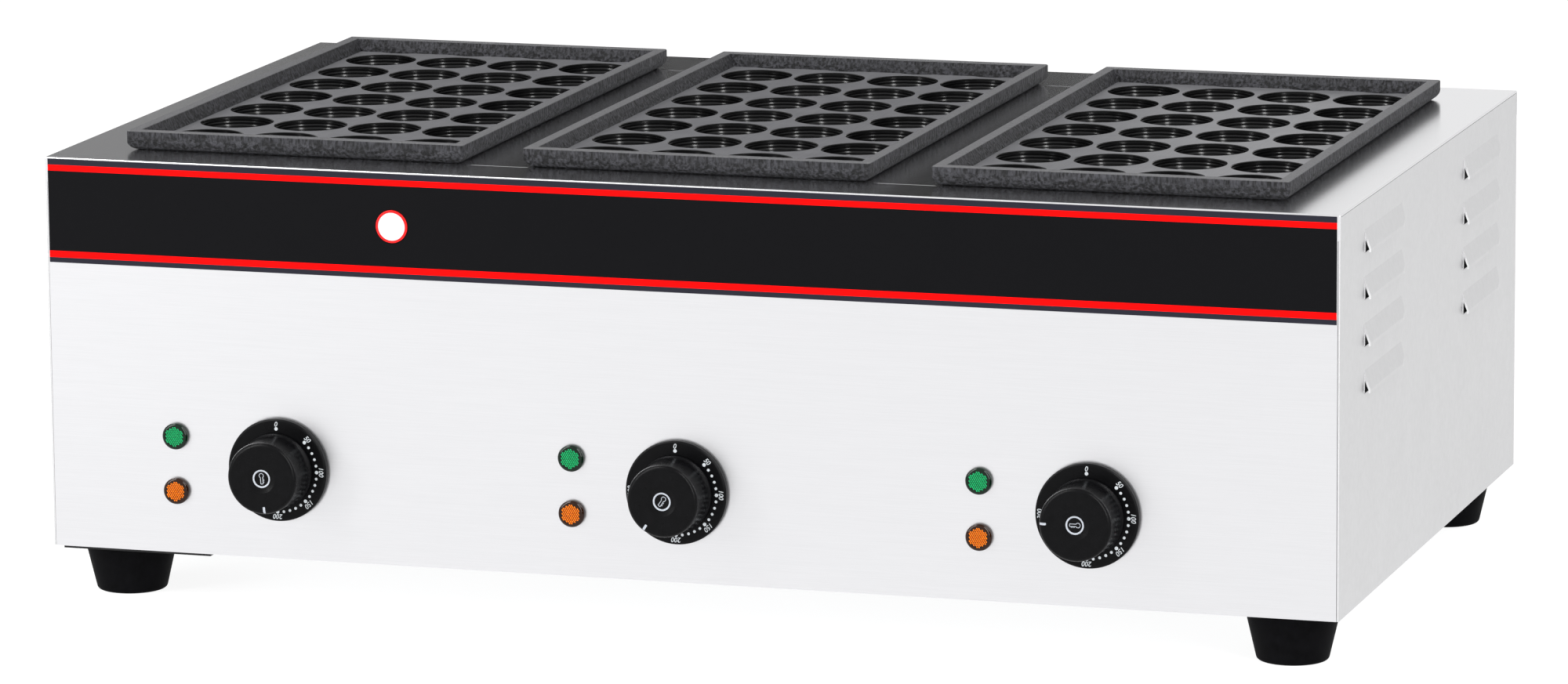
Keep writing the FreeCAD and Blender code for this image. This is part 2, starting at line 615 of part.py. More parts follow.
def make_heating_element(name, step):
    """Tube heater bent into four runs under the four columns of cups, with both ends at the back."""
    body = new_part(f"heating_element_{name}", x=zone_x(step), y="plate_shift", z=f"{DECK_TOP} - tube_drop")
    pitch = value("cup_pitch_across")
    reach = value("tube_reach")
    tail = value("tray_half_length + 6")
    count = len(ELEMENT_RUNS)
    runs = [(run - (count - 1) / 2) * pitch for run in range(count)]
    path = new_sketch(body)
    ends = [(tail, -reach), (-reach, reach), (reach, -reach), (-reach, tail)]
    for number, (x, (start, stop)) in enumerate(zip(runs, ends)):
        path.addGeometry(Part.LineSegment(Vector(x, start, 0), Vector(x, stop, 0)))
        if number < count - 1:
            turn = -1 if number % 2 == 0 else 1
            bend = Vector(x + pitch / 2, turn * (reach + pitch / 2), 0)
            path.addGeometry(Part.Arc(Vector(x, turn * reach, 0), bend, Vector(x + pitch, turn * reach, 0)))
    profile = new_sketch(body, "XZ_Plane", lift=f"-{tail}")
    add_circle(profile, str(runs[0]), "0", "tube_radius")
    pipe = body.newObject("PartDesign::AdditivePipe", body.Name + "_pipe")
    pipe.Profile = profile
    pipe.Spine = (path, [f"Edge{i}" for i in range(1, path.GeometryCount + 1)])
    doc.recompute()
    pins = new_sketch(body, "XZ_Plane", lift=f"-{tail}")
    for x in (runs[0], runs[-1]):
        add_circle(pins, str(x), "0", "pin_radius")
    pad(body, pins, "pin_length", backward=True)


def make_heat_tray(name, step):
    """Folded pan under one plate, hung from the deck by side flanges."""
    body = new_part(f"heat_tray_{name}", x=zone_x(step), y="plate_shift", z=f"{DECK_TOP} - tray_depth")
    block = new_sketch(body)
    add_middle_rectangle(block, "2 * tray_half_width", "2 * tray_half_length")
    pad(body, block, "tray_depth - sheet")
    lips = new_sketch(body, lift="tray_depth - sheet")
    add_middle_rectangle(lips, "2 * (tray_half_width + tray_lip)", "2 * (tray_half_length - tray_lip)")
    pad(body, lips, "tray_sheet", backward=True)
    hollow = new_sketch(body, lift="tray_depth - sheet")
    add_middle_rectangle(hollow, "2 * (tray_half_width - tray_sheet)", "2 * (tray_half_length - tray_sheet)")
    pocket(body, hollow, "tray_depth - sheet - tray_sheet")
    back_holes = new_sketch(body, "XZ_Plane", lift="-tray_half_length")
    outermost = "(cup_columns - 1) / 2 * cup_pitch_across"
    for _, side in SIDES:
        add_circle(back_holes, f"{side} * {outermost}", "tray_depth - tube_drop", "tube_radius + 0.4")
    pocket(body, back_holes, "tray_sheet", forward=True)
    front_hole = new_sketch(body, "XZ_Plane", lift="tray_half_length")
    add_circle(front_hole, "0", "tray_depth - bulb_drop", "2 * capillary_radius")
    pocket(body, front_hole, "tray_sheet")


def make_element_rests(name, step):
    """Two cross bars carrying the tube, each with a post and saddle for the sensor bulb."""
    body = new_part(f"element_rests_{name}", x=zone_x(step), y="plate_shift",
                    z=f"{DECK_TOP} - tube_drop - tube_radius - 0.2")
    bars = new_sketch(body)
    posts = new_sketch(body)
    for _, side in SIDES:
        middle = f"{side} * rest_spacing"
        add_middle_rectangle(bars, "2 * (tray_half_width - tray_sheet)", "rest_width", middle_y=middle)
        add_middle_rectangle(posts, "rest_post", "rest_post + 1", middle_y=middle)
    pad(body, bars, "2 * sheet", backward=True)
    pad(body, posts, "tube_drop + tube_radius - bulb_drop - bulb_radius")


def make_sensor_bulb(name, step):
    """Thermostat's sensor: a bulb under the plate and its capillary, which runs down to the thermostat."""
    body = new_part(f"sensor_bulb_{name}", x=zone_x(step), y="plate_shift", z=f"{DECK_TOP} - bulb_drop")
    bulb = new_sketch(body, "XZ_Plane", lift="-bulb_half_length")
    add_circle(bulb, "0", "0", "bulb_radius")
    pad(body, bulb, "2 * bulb_half_length")
    start = -value("bulb_half_length")
    front = value("-body_depth / 2 + 22 - plate_shift")
    low = value(f"foot_height + dial_height + thermostat_height / 2 - {DECK_TOP} + bulb_drop")
    bend = value("capillary_bend")
    inner = bend * (1 - ARC_MIDDLE)
    path = new_sketch(body, "YZ_Plane")
    path.addGeometry(Part.LineSegment(Vector(start, 0, 0), Vector(front + bend, 0, 0)))
    path.addGeometry(Part.Arc(Vector(front + bend, 0, 0), Vector(front + inner, -inner, 0),
                              Vector(front, -bend, 0)))
    path.addGeometry(Part.LineSegment(Vector(front, -bend, 0), Vector(front, low, 0)))
    profile = new_sketch(body, "XZ_Plane", lift="bulb_half_length")
    add_circle(profile, "0", "0", "capillary_radius")
    pipe = body.newObject("PartDesign::AdditivePipe", body.Name + "_pipe")
    pipe.Profile = profile
    pipe.Spine = (path, ["Edge1", "Edge2", "Edge3"])
    doc.recompute()


# ---- controls: each body's origin is on the front face, at the dial's centre ----
def dial_part(name, step):
    return new_part(name, x=dial_x(step), y="-body_depth / 2", z="foot_height + dial_height")


def make_thermostat(name, step):
    """Switch housing screwed behind the panel, with a bush for the spindle."""
    body = dial_part(f"thermostat_body_{name}", step)
    case = new_sketch(body, "XZ_Plane", lift="-sheet")
    add_middle_rectangle(case, "thermostat_width", "thermostat_height")
    pad(body, case, "thermostat_depth", backward=True)
    bush = new_sketch(body, "XZ_Plane", lift="-sheet")
    add_circle(bush, "0", "0", "thermostat_bush")
    pad(body, bush, "2 * sheet")
    tabs = new_sketch(body, "XZ_Plane", lift="-sheet - thermostat_depth")
    for x in (-10, 0, 10):
        add_middle_rectangle(tabs, "6", "0.9", middle_x=str(x), middle_y="8")
    pad(body, tabs, "8", backward=True)
    bore = new_sketch(body, "XZ_Plane", lift="sheet")
    add_circle(bore, "0", "0", "spindle_radius + spindle_play")
    pocket(body, bore, "2 * sheet + 20")
    taps = new_sketch(body, "XZ_Plane", lift="-sheet")
    for _, side in SIDES:
        add_circle(taps, f"{side} * screw_spacing", "0", "screw_radius + 0.05")
    pocket(body, taps, "7")


def make_spindle(name, step):
    """Thermostat spindle with its flat, from inside the switch into the knob."""
    body = dial_part(f"thermostat_spindle_{name}", step)
    inside = "(sheet + 18)"
    outside = "(bezel_thickness + knob_socket - 0.5)"
    shaft = new_sketch(body, "XZ_Plane", lift=f"-{inside}")
    add_circle(shaft, "0", "0", "spindle_radius")
    pad(body, shaft, f"{inside} + {outside}")
    flat = new_sketch(body, "XZ_Plane", lift=outside)
    add_rectangle(flat, "-spindle_radius - 1", "0.5 * spindle_radius",
                  "2 * spindle_radius + 2", "spindle_radius")
    pocket(body, flat, "knob_socket - 2.5")


def make_bezel(name, step):
    """Fixed scale disc, hollow behind to cover the thermostat's screws."""
    body = dial_part(f"dial_bezel_{name}", step)
    disc = new_sketch(body, "XZ_Plane")
    add_circle(disc, "0", "0", "bezel_radius")
    pad(body, disc, "bezel_thickness")
    front = -value("bezel_thickness")
    fillet(body, "0.3 * bezel_thickness", lambda edge: abs(edge.BoundBox.YMax - front) < TOUCHING)
    back = new_sketch(body, "XZ_Plane")
    add_circle(back, "0", "0", "bezel_radius - 2.5")
    pocket(body, back, "2.2", forward=True)
    hole = new_sketch(body, "XZ_Plane", lift="bezel_thickness")
    add_circle(hole, "0", "0", "thermostat_bush + 0.4")
    pocket(body, hole, "bezel_thickness")


def make_knob(name, step):
    """Turned knob: wider foot, straight grip, rounded brow and a dished centre."""
    body = dial_part(f"control_knob_{name}", step)
    foot = value("bezel_thickness + knob_gap")
    top = foot + value("knob_height")
    base = value("knob_base_radius")
    grip = value("knob_radius")
    brow = value("knob_brow")
    neck = value("knob_neck")
    shoulder = foot + value("knob_edge")
    dish = value("dish_radius")
    depth = value("dish_depth")
    sphere = (dish ** 2 + depth ** 2) / (2 * depth)
    dish_middle = depth - sphere + (sphere ** 2 - (dish / 2) ** 2) ** 0.5
    round_off = 1 - ARC_MIDDLE
    chamfer = 0.6
    # Half section on the XY plane: the radius runs along X and the way out from the panel along -Y.
    profile = new_sketch(body)
    outline = [("line", (0, foot)), ("line", (base - chamfer, foot)), ("line", (base, foot + chamfer)),
               ("arc", (base, shoulder), (grip + round_off * (base - grip), shoulder + round_off * neck)),
               ("line", (grip, shoulder + neck)),
               ("arc", (grip, top - brow), (grip - round_off * brow, top - round_off * brow)),
               ("line", (grip - brow, top)),
               ("arc", (dish, top), (dish / 2, top - dish_middle)),
               ("line", (0, top - depth))]
    for step_number, (kind, start, *middle) in enumerate(outline):
        stop = outline[(step_number + 1) % len(outline)][1]
        ends = [Vector(radius, -out, 0) for radius, out in (start, *middle, stop)]
        profile.addGeometry(Part.Arc(*ends) if kind == "arc" else Part.LineSegment(*ends))
    spin(body, profile, "Revolution")
    bore = new_sketch(body, "XZ_Plane", lift=str(foot))
    add_circle(bore, "0", "0", "spindle_radius + 0.02")
    pocket(body, bore, "knob_socket", forward=True)


def make_lens(colour, height, name, step):
    """Pilot lamp lens: flat collar and a raised faceted centre, with a peg into its lamp body."""
    body = new_part(f"{colour}_lens_{name}", x=f"{dial_x(step)} - lamp_offset", y="-body_depth / 2",
                    z=f"foot_height + {height}")
    collar = new_sketch(body, "XZ_Plane")
    add_circle(collar, "0", "0", "lens_radius")
    pad(body, collar, "lens_collar")
    rim = -value("lens_collar")
    fillet(body, "0.4 * lens_collar", lambda edge: abs(edge.BoundBox.YMax - rim) < TOUCHING)
    window = new_sketch(body, "XZ_Plane", lift="lens_collar")
    add_circle(window, "0", "0", "lens_radius - 2")
    pad(body, window, "lens_window")
    tip = rim - value("lens_window")
    fillet(body, "0.4 * lens_window", lambda edge: abs(edge.BoundBox.YMax - tip) < TOUCHING)
    peg = new_sketch(body, "XZ_Plane")
    add_circle(peg, "0", "0", "lamp_hole - 1.6")
    pad(body, peg, "4", backward=True)


def make_lamp_bodies(name, step):
    """The two lamp holders of one zone, pushed through the panel from the front."""
    body = new_part(f"lamp_bodies_{name}", x=f"{dial_x(step)} - lamp_offset", y="-body_depth / 2",
                    z="foot_height")
    shells = new_sketch(body, "XZ_Plane")
    bores = new_sketch(body, "XZ_Plane")
    leads = new_sketch(body, "XZ_Plane", lift="-lamp_length")
    for height in ("lamp_low", "lamp_high"):
        add_circle(shells, "0", height, "lamp_hole - 0.15")
        add_circle(bores, "0", height, "lamp_hole - 0.15 - lamp_shell")
        for x in (-2, 2):
            add_middle_rectangle(leads, "1", "3", middle_x=str(x), middle_y=height)
    pad(body, shells, "lamp_length", backward=True)
    pocket(body, bores, "10")
    pad(body, leads, "7", backward=True)


def make_lamp_clips():
    """Push-on nuts that hold the six lamp bodies against the back of the panel."""
    body = new_part("lamp_clips", y="-body_depth / 2 + sheet", z="foot_height")
    rings = new_sketch(body, "XZ_Plane")
    for _, step in ZONES:
        for height in ("lamp_low", "lamp_high"):
            for radius in ("lamp_hole + 2.6", "lamp_hole - 0.1"):
                add_circle(rings, f"{dial_x(step)} - lamp_offset", height, radius)
    pad(body, rings, "1.2", backward=True)


def make_thermostat_screws():
    """Two pan-head screws in front of each thermostat, under its scale disc."""
    body = new_part("thermostat_screws", y="-body_depth / 2", z="foot_height")
    heads = new_sketch(body, "XZ_Plane")
    stems = new_sketch(body, "XZ_Plane")
    for _, step in ZONES:
        for _, side in SIDES:
            x = f"{dial_x(step)} + {side} * screw_spacing"
            add_circle(heads, x, "dial_height", "1.8 * screw_radius")
            add_circle(stems, x, "dial_height", "screw_radius")
    pad(body, heads, "1.8")
    pad(body, stems, "sheet + 6", backward=True)


# ---- supply, feet and fasteners ----
# The gland stands out at the back as far as the knobs do in front.
GLAND_REACH = "(bezel_thickness + knob_gap + knob_height)"


def make_cable_gland():
    """Hexagonal gland body and dome nut on the back, bored for the supply cord."""
    body = new_part("cable_gland", x="gland_x", y="body_depth / 2", z="foot_height + gland_height")
    outline = new_sketch(body, "XZ_Plane")
    spread = value("gland_hex_radius")
    angles = [math.radians(60 * corner) for corner in range(6)]
    add_polygon(outline, [Vector(spread * math.cos(a), spread * math.sin(a), 0) for a in angles])
    pad(body, outline, "gland_hex", backward=True)
    dome = new_sketch(body, "XZ_Plane", lift="-gland_hex")
    add_circle(dome, "0", "0", "gland_radius")
    pad(body, dome, f"{GLAND_REACH} - gland_hex", backward=True)
    end = value(GLAND_REACH)
    fillet(body, "gland_radius / 3", lambda edge: abs(edge.BoundBox.YMin - end) < TOUCHING)
    thread = new_sketch(body, "XZ_Plane")
    add_circle(thread, "0", "0", "gland_thread")
    pad(body, thread, "gland_thread_length")
    bore = new_sketch(body, "XZ_Plane", lift="gland_thread_length")
    add_circle(bore, "0", "0", "gland_bore")
    pocket(body, bore, f"gland_thread_length + {GLAND_REACH}")


def make_gland_locknut():
    """Nut that holds the gland from inside."""
    body = new_part("gland_locknut", x="gland_x", y="body_depth / 2 - sheet", z="foot_height + gland_height")
    ring = new_sketch(body, "XZ_Plane")
    add_circle(ring, "0", "0", "gland_radius")
    add_circle(ring, "0", "0", "gland_thread + 0.1")
    pad(body, ring, "locknut")


def make_earth_stud():
    """Earth bolt through the back panel with a nut on each face."""
    body = new_part("earth_stud", x="gland_x + stud_offset", y="body_depth / 2",
                    z="foot_height + gland_height")
    stem = new_sketch(body, "XZ_Plane", lift="stud_reach")
    add_circle(stem, "0", "0", "stud_radius")
    pad(body, stem, "2 * stud_reach", backward=True)
    for lift, backward in (("0", True), ("sheet", False)):
        nut = new_sketch(body, "XZ_Plane", lift=lift)
        add_circle(nut, "0", "0", "nut_radius")
        pad(body, nut, "nut_height", backward=backward)


BLOCK_X = "(gland_x + 30)"
BLOCK_Y = "(body_depth / 2 - 70)"


def bent_tube(points, radius, bend):
    """A round tube along straight runs joined by tangent quarter bends."""
    edges = []
    start = points[0]
    for before, corner, after in zip(points, points[1:], points[2:]):
        toward = (before - corner).normalize()
        away = (after - corner).normalize()
        shorter = min((before - corner).Length, (after - corner).Length)
        tight = min(bend, 0.45 * shorter)
        first = corner + toward * tight
        last = corner + away * tight
        middle = corner + (toward + away) * (tight * (1 - ARC_MIDDLE))
        edges.append(Part.LineSegment(start, first).toShape())
        edges.append(Part.Arc(first, middle, last).toShape())
        start = last
    edges.append(Part.LineSegment(start, points[-1]).toShape())
    section = Part.Wire(Part.makeCircle(radius, points[0], points[1] - points[0]))
    return Part.Wire(edges).makePipeShell([section], True, True)


def make_wiring_loom():
    """Sleeved supply leads: one along the floor from the terminal block to each thermostat."""
    radius = value("loom_radius")
    block_front = value(f"{BLOCK_Y} - terminal_depth / 2")
    behind_dial = value("-body_depth / 2 + sheet + thermostat_depth")
    low = value("foot_height + 18")
    high = value("foot_height + dial_height - 10")
    looms = []
    for number, (_, step) in enumerate(ZONES):
        dial = value(dial_x(step)) + 10
        start = value(BLOCK_X) + 22 * step
        turn = 40 + 25 * number
        rise = behind_dial + 26
        points = [Vector(start, block_front, low), Vector(start, turn, low), Vector(dial, turn, low),
                  Vector(dial, rise, low), Vector(dial, rise, high), Vector(dial, behind_dial, high)]
        looms.append(bent_tube(points, radius, value("loom_bend")))
    loom = doc.addObject("Part::Feature", "wiring_loom")
    loom.Label = "wiring_loom"
    loom.Shape = Part.makeCompound(looms)
    parts.append(loom)


def make_terminal_block():
    """Supply terminals on the floor plate, beside the gland."""
    body = new_part("terminal_block", x=BLOCK_X, y=BLOCK_Y, z="foot_height + 2 * sheet")
    block = new_sketch(body)
    add_middle_rectangle(block, "terminal_width", "terminal_depth")
    pad(body, block, "terminal_height")
    wells = new_sketch(body, lift="terminal_height")
    for way in (-1.5, -0.5, 0.5, 1.5):
        for _, side in SIDES:
            add_circle(wells, f"{way} * terminal_pitch", f"{side} * 8", "4")
    pocket(body, wells, "terminal_height / 2")


def make_corner_plates():
    """Square mounting plates that carry the feet: large ones at the left, small ones at the right."""
    body = new_part("corner_plates", z="foot_height")
    squares = new_sketch(body)
    holes = new_sketch(body)
    inset = "corner_plate_inset - corner_plate / 2"
    for x, y in SQUARE_CORNERS:
        middle = foot_spot(x, y)
        side = "small_corner_plate"
        if x < 0:
            middle = (f"{x} * (body_width / 2 - {inset})", f"{y} * (body_depth / 2 - {inset})")
            side = "corner_plate"
        add_middle_rectangle(squares, side, side, *middle)
        add_circle(holes, *foot_spot(x, y), "foot_screw + 0.1")
    pad(body, squares, "corner_plate_thickness", backward=True)
    pocket(body, holes, "corner_plate_thickness")


def make_foot(name, x, y):
    """Tapered rubber foot with a rounded lower edge and a counterbore for its screw."""
    across, along = foot_spot(x, y)
    body = new_part(f"rubber_foot_{name}", x=across, y=along)
    height = value("foot_height - corner_plate_thickness")
    top = value("foot_top_radius")
    bottom = value("foot_bottom_radius")
    roll = value("foot_roll")
    bore = value("foot_screw + 0.5")
    slope = (top - bottom) / height
    low_side = bottom + slope * roll
    sole_edge = Vector(bottom - roll, 0, 0)
    roll_end = Vector(low_side, roll, 0)
    top_edge = Vector(top, height, 0)
    profile = new_sketch(body, "XZ_Plane")
    profile.addGeometry(Part.LineSegment(Vector(bore, 0, 0), sole_edge))
    profile.addGeometry(Part.Arc(sole_edge, Vector(bottom - 0.3 * roll, 0.24 * roll, 0), roll_end))
    profile.addGeometry(Part.LineSegment(roll_end, top_edge))
    profile.addGeometry(Part.LineSegment(top_edge, Vector(bore, height, 0)))
    profile.addGeometry(Part.LineSegment(Vector(bore, height, 0), Vector(bore, 0, 0)))
    spin(body, profile, "Revolution")
    well = new_sketch(body)
    add_circle(well, "0", "0", "foot_well_radius")
    pocket(body, well, "foot_well", forward=True)


def make_foot_screws():
    """Screws up through the feet, the corner plates and the floor, with their nuts."""
    body = new_part("foot_screws")
    floor_top = "(foot_height + 2 * sheet)"
    stems = new_sketch(body, lift="foot_well")
    heads = new_sketch(body, lift="foot_well")
    nuts = new_sketch(body, lift=floor_top)
    for x, y in SQUARE_CORNERS:
        spot = foot_spot(x, y)
        add_circle(stems, *spot, "foot_screw")
        add_circle(heads, *spot, "2 * foot_screw")
        add_circle(nuts, *spot, "nut_radius")
    pad(body, stems, f"{floor_top} - foot_well + nut_height + 1")
    pad(body, heads, "3", backward=True)
    pad(body, nuts, "nut_height")


def make_panel_screws():
    """Pan-head screws round the back panel."""
    body = new_part("panel_screws", y="body_depth / 2", z="foot_height")
    heads = new_sketch(body, "XZ_Plane")
    stems = new_sketch(body, "XZ_Plane")
    for x, z in BACK_SCREWS:
        add_circle(heads, *back_screw_spot(x, z), "1.9 * screw_radius")
        add_circle(stems, *back_screw_spot(x, z), "screw_radius - 0.1")
    pad(body, heads, "2", backward=True)
    pad(body, stems, "2 * sheet + 3")


make_top_deck()
make_front_panel()
make_back_panel()
make_bottom_plate()
make_control_label()
for side_name, side_sign in SIDES:
    make_side_panel(side_name, side_sign)
    make_divider(side_name, side_sign)
for zone_name, zone_step in ZONES:
    make_cooking_plate(zone_name, zone_step)
    make_heating_element(zone_name, zone_step)
    make_heat_tray(zone_name, zone_step)
    make_element_rests(zone_name, zone_step)
    make_sensor_bulb(zone_name, zone_step)
    make_thermostat(zone_name, zone_step)
    make_spindle(zone_name, zone_step)
    make_bezel(zone_name, zone_step)
    make_knob(zone_name, zone_step)
    make_lens("green", "lamp_high", zone_name, zone_step)
    make_lens("amber", "lamp_low", zone_name, zone_step)
    make_lamp_bodies(zone_name, zone_step)
make_lamp_clips()
make_thermostat_screws()
make_cable_gland()
make_gland_locknut()
make_earth_stud()
make_terminal_block()
make_wiring_loom()
make_corner_plates()
for depth_name, depth_sign in (("front", -1), ("back", 1)):
    for side_name, side_sign in SIDES:
        make_foot(f"{depth_name}_{side_name}", side_sign, depth_sign)
make_foot_screws()
make_panel_screws()

# ---- checks, then one STEP file for each piece ----
doc.recompute()
for thing in doc.Objects:
    if "Invalid" in thing.State or "Error" in thing.State:
        raise RuntimeError(f"{thing.Label}: {thing.State}")
os.makedirs("parts", exist_ok=True)
for piece in parts:
    if piece.Shape.isNull() or not piece.Shape.isValid():
        raise RuntimeError(f"{piece.Label}: no valid shape")
for piece in parts:
    piece.Shape.exportStep(os.path.join("parts", piece.Label + ".step"))
print(len(parts), "pieces")
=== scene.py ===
"""Countertop takoyaki maker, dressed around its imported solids.

A stainless cabinet with three lift-off cast plates, three thermostat dials and six pilot lamps.
Every length is in metres, in the frame of the solids: +X to the cook's right, +Y to the back, +Z up.
"""
import math

import bpy
from bpy.props import FloatProperty, FloatVectorProperty, PointerProperty
from mathutils import Matrix, Vector


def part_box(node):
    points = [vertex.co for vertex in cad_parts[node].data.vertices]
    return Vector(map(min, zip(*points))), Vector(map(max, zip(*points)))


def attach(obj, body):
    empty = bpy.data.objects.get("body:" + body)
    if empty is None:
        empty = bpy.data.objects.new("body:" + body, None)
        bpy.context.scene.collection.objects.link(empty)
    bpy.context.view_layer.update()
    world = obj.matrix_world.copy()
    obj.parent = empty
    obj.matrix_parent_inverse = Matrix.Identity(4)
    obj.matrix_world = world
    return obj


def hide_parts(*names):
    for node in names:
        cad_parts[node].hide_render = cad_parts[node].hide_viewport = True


bl_info = {
    "name": "Takoyaki Maker",
    "version": (1, 0, 0),
    "blender": (4, 5, 0),
    "location": "3D View > Sidebar > Cooker",
    "description": "Finishes and small parts of a countertop takoyaki maker",
    "category": "Object",
}

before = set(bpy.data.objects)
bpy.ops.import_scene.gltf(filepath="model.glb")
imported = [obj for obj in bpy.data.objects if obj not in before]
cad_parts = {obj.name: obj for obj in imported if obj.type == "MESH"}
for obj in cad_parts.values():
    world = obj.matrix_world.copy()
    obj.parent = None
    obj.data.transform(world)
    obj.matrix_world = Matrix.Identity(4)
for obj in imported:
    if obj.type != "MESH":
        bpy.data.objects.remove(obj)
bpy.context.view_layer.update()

MM = 0.001
TINY = 0.01 * MM  # allowance where a corner's place is tested
X_AXIS, Y_AXIS, Z_AXIS = range(3)
ZONES = ("left", "centre", "right")
CABINET = "cabinet"


def linear(code):
    """Linear RGB of an sRGB hex colour."""
    channels = [int(code[i:i + 2], 16) / 255 for i in (1, 3, 5)]
    return [c / 12.92 if c <= 0.04045 else ((c + 0.055) / 1.055) ** 2.4 for c in channels]


def rgba(code):
    return (*linear(code), 1)


# ---- sizes and colours that a user would change ----
AS_COLOUR = {"subtype": "COLOR", "size": 3, "min": 0, "max": 1}


class CookerColours(bpy.types.PropertyGroup):
    """Colours of the finishes."""

    steel: FloatVectorProperty(name="Steel", description="Brushed stainless steel of the front",
                               default=linear("#D9D9DB"), **AS_COLOUR)
    deck_steel: FloatVectorProperty(name="Deck steel", description="Brushed stainless steel of the deck",
                                    default=linear("#DADADC"), **AS_COLOUR)
    side_steel: FloatVectorProperty(name="Side steel", description="Mill-finished steel of the sides",
                                    default=linear("#CBCBCC"), **AS_COLOUR)
    iron: FloatVectorProperty(name="Iron", description="Sand-cast skin of the plates",
                              default=linear("#27272A"), **AS_COLOUR)
    label: FloatVectorProperty(name="Label", description="Printed black of the control label",
                               default=linear("#0D0D0F"), **AS_COLOUR)
    stripe: FloatVectorProperty(name="Stripe", description="Printed red of the two stripes",
                                default=linear("#FF0505"), **AS_COLOUR)
    dial: FloatVectorProperty(name="Dial", description="Moulded black of the dials and knobs",
                              default=linear("#070708"), **AS_COLOUR)
    ink: FloatVectorProperty(name="Ink", description="Printed scales of the dials",
                             default=linear("#CDD2D6"), **AS_COLOUR)
    pointer: FloatVectorProperty(name="Pointer", description="Printed pointers and rings of the knobs",
                                 default=linear("#AFB4BC"), **AS_COLOUR)
    green: FloatVectorProperty(name="Green", description="Green pilot lamps",
                               default=linear("#18A865"), **AS_COLOUR)
    amber: FloatVectorProperty(name="Amber", description="Amber pilot lamps",
                               default=linear("#E87812"), **AS_COLOUR)


class CookerSizes(bpy.types.PropertyGroup):
    """Sizes of the small parts."""

    scale_radius: FloatProperty(name="Dot circle", description="Radius of the circle of dots on a dial",
                                unit="LENGTH", default=21.9 * MM)
    number_radius: FloatProperty(name="Number circle", description="Radius to the middle of a dial's numbers",
                                 unit="LENGTH", default=24.4 * MM)
    number_height: FloatProperty(name="Number height", description="Height of a dial's numbers",
                                 unit="LENGTH", default=2.6 * MM)
    pointer_radius: FloatProperty(name="Pointer place", description="Radius to the middle of a pointer",
                                  unit="LENGTH", default=16.4 * MM)
    emblem_radius: FloatProperty(name="Knob ring", description="Outer radius of the ring in a knob's dish",
                                 unit="LENGTH", default=4.75 * MM)
    badge_radius: FloatProperty(name="Badge", description="Radius of the plain badge on the label",
                                unit="LENGTH", default=8.5 * MM)
    prism_pitch: FloatProperty(name="Prism pitch", description="Spacing of the prisms in a pilot lamp",
                               unit="LENGTH", default=1.1 * MM)


class StudioSettings(bpy.types.PropertyGroup):
    """Light of the studio."""

    room: FloatProperty(name="Room light", description="Level of the even light from all round",
                        min=0, default=0.4)
    key: FloatProperty(name="Key light", description="Power of the large lamp above the front",
                       subtype="POWER", unit="POWER", min=0, default=2)
    strip: FloatProperty(name="Strip lights", description="Power of each tall lamp in front",
                         subtype="POWER", unit="POWER", min=0, default=75)


# ---- building blocks of the materials ----
# Sockets of the Mix node: its factor, the two numbers it mixes, the two colours it mixes, the mixed colour
FACTOR, LOW_NUMBER, HIGH_NUMBER, LOW_COLOUR, HIGH_COLOUR, MIXED_COLOUR = 0, 2, 3, 6, 7, 2
# How far a Wave texture of scale 1 runs before it repeats, along one axis and along its diagonal
WAVE_REPEAT = 2 * math.pi / 20
DIAGONAL_REPEAT = 2 * math.pi / (10 * math.sqrt(3))


def add(tree, kind, inputs, **settings):
    """Adds one shader node and returns its outputs; an input that is a socket is linked, any other is set."""
    node = tree.nodes.new("ShaderNode" + kind)
    for name, setting in settings.items():
        setattr(node, name, setting)
    for name, value in inputs.items():
        socket = node.inputs[name]
        if isinstance(value, bpy.types.NodeSocket):
            tree.links.new(value, socket)
        else:
            socket.default_value = value
    return node.outputs


def begin(name):
    """A new material, its node tree and the object's own coordinates in it."""
    material = bpy.data.materials.new(name)
    material.use_nodes = True
    tree = material.node_tree
    tree.nodes.clear()
    return material, tree, add(tree, "TexCoord", {})["Object"]


def close(tree, shader, bump_inputs=None):
    """Gives the tree its shader, with a bump where one is asked for, and its output."""
    if bump_inputs:
        shader["Normal"] = add(tree, "Bump", bump_inputs)["Normal"]
    surface = add(tree, "BsdfPrincipled", shader)["BSDF"]
    add(tree, "OutputMaterial", {"Surface": surface})


def lumps(tree, place, size, low=0.0, high=1.0, detail=3.0):
    """Noise with lumps about size metres across, stretched to run from low to high."""
    noise = add(tree, "TexNoise", {"Vector": place, "Scale": 1 / size, "Detail": detail,
                                   "Roughness": 0.55})["Fac"]
    return add(tree, "MapRange", {"Value": noise, "From Min": 0.3, "From Max": 0.7,
                                  "To Min": low, "To Max": high})["Result"]


def strokes(tree, place, across, along, axis, low=0.0, high=1.0):
    """The same noise drawn out along one axis, as a belt, a mill or a file leaves it."""
    scale = [1 / across] * 3
    scale[axis] = 1 / along
    drawn = add(tree, "Mapping", {"Vector": place, "Scale": scale})["Vector"]
    return lumps(tree, drawn, 1.0, low, high)


def layered(tree, base, *layers):
    """A colour with others laid over it in turn, each given as its mask and its colour."""
    for mask, colour in layers:
        inputs = {FACTOR: mask, LOW_COLOUR: base, HIGH_COLOUR: colour}
        base = add(tree, "Mix", inputs, data_type="RGBA")[MIXED_COLOUR]
    return base


def shade(colour, level):
    """A colour at a level of its brightness."""
    return (*[min(1, c * level) for c in colour], 1)


# ---- metal sheet ----
BRUSH_WIDTH = 0.35 * MM
BRUSH_LENGTH = 30 * MM
SPANGLE_SIZE = 12 * MM


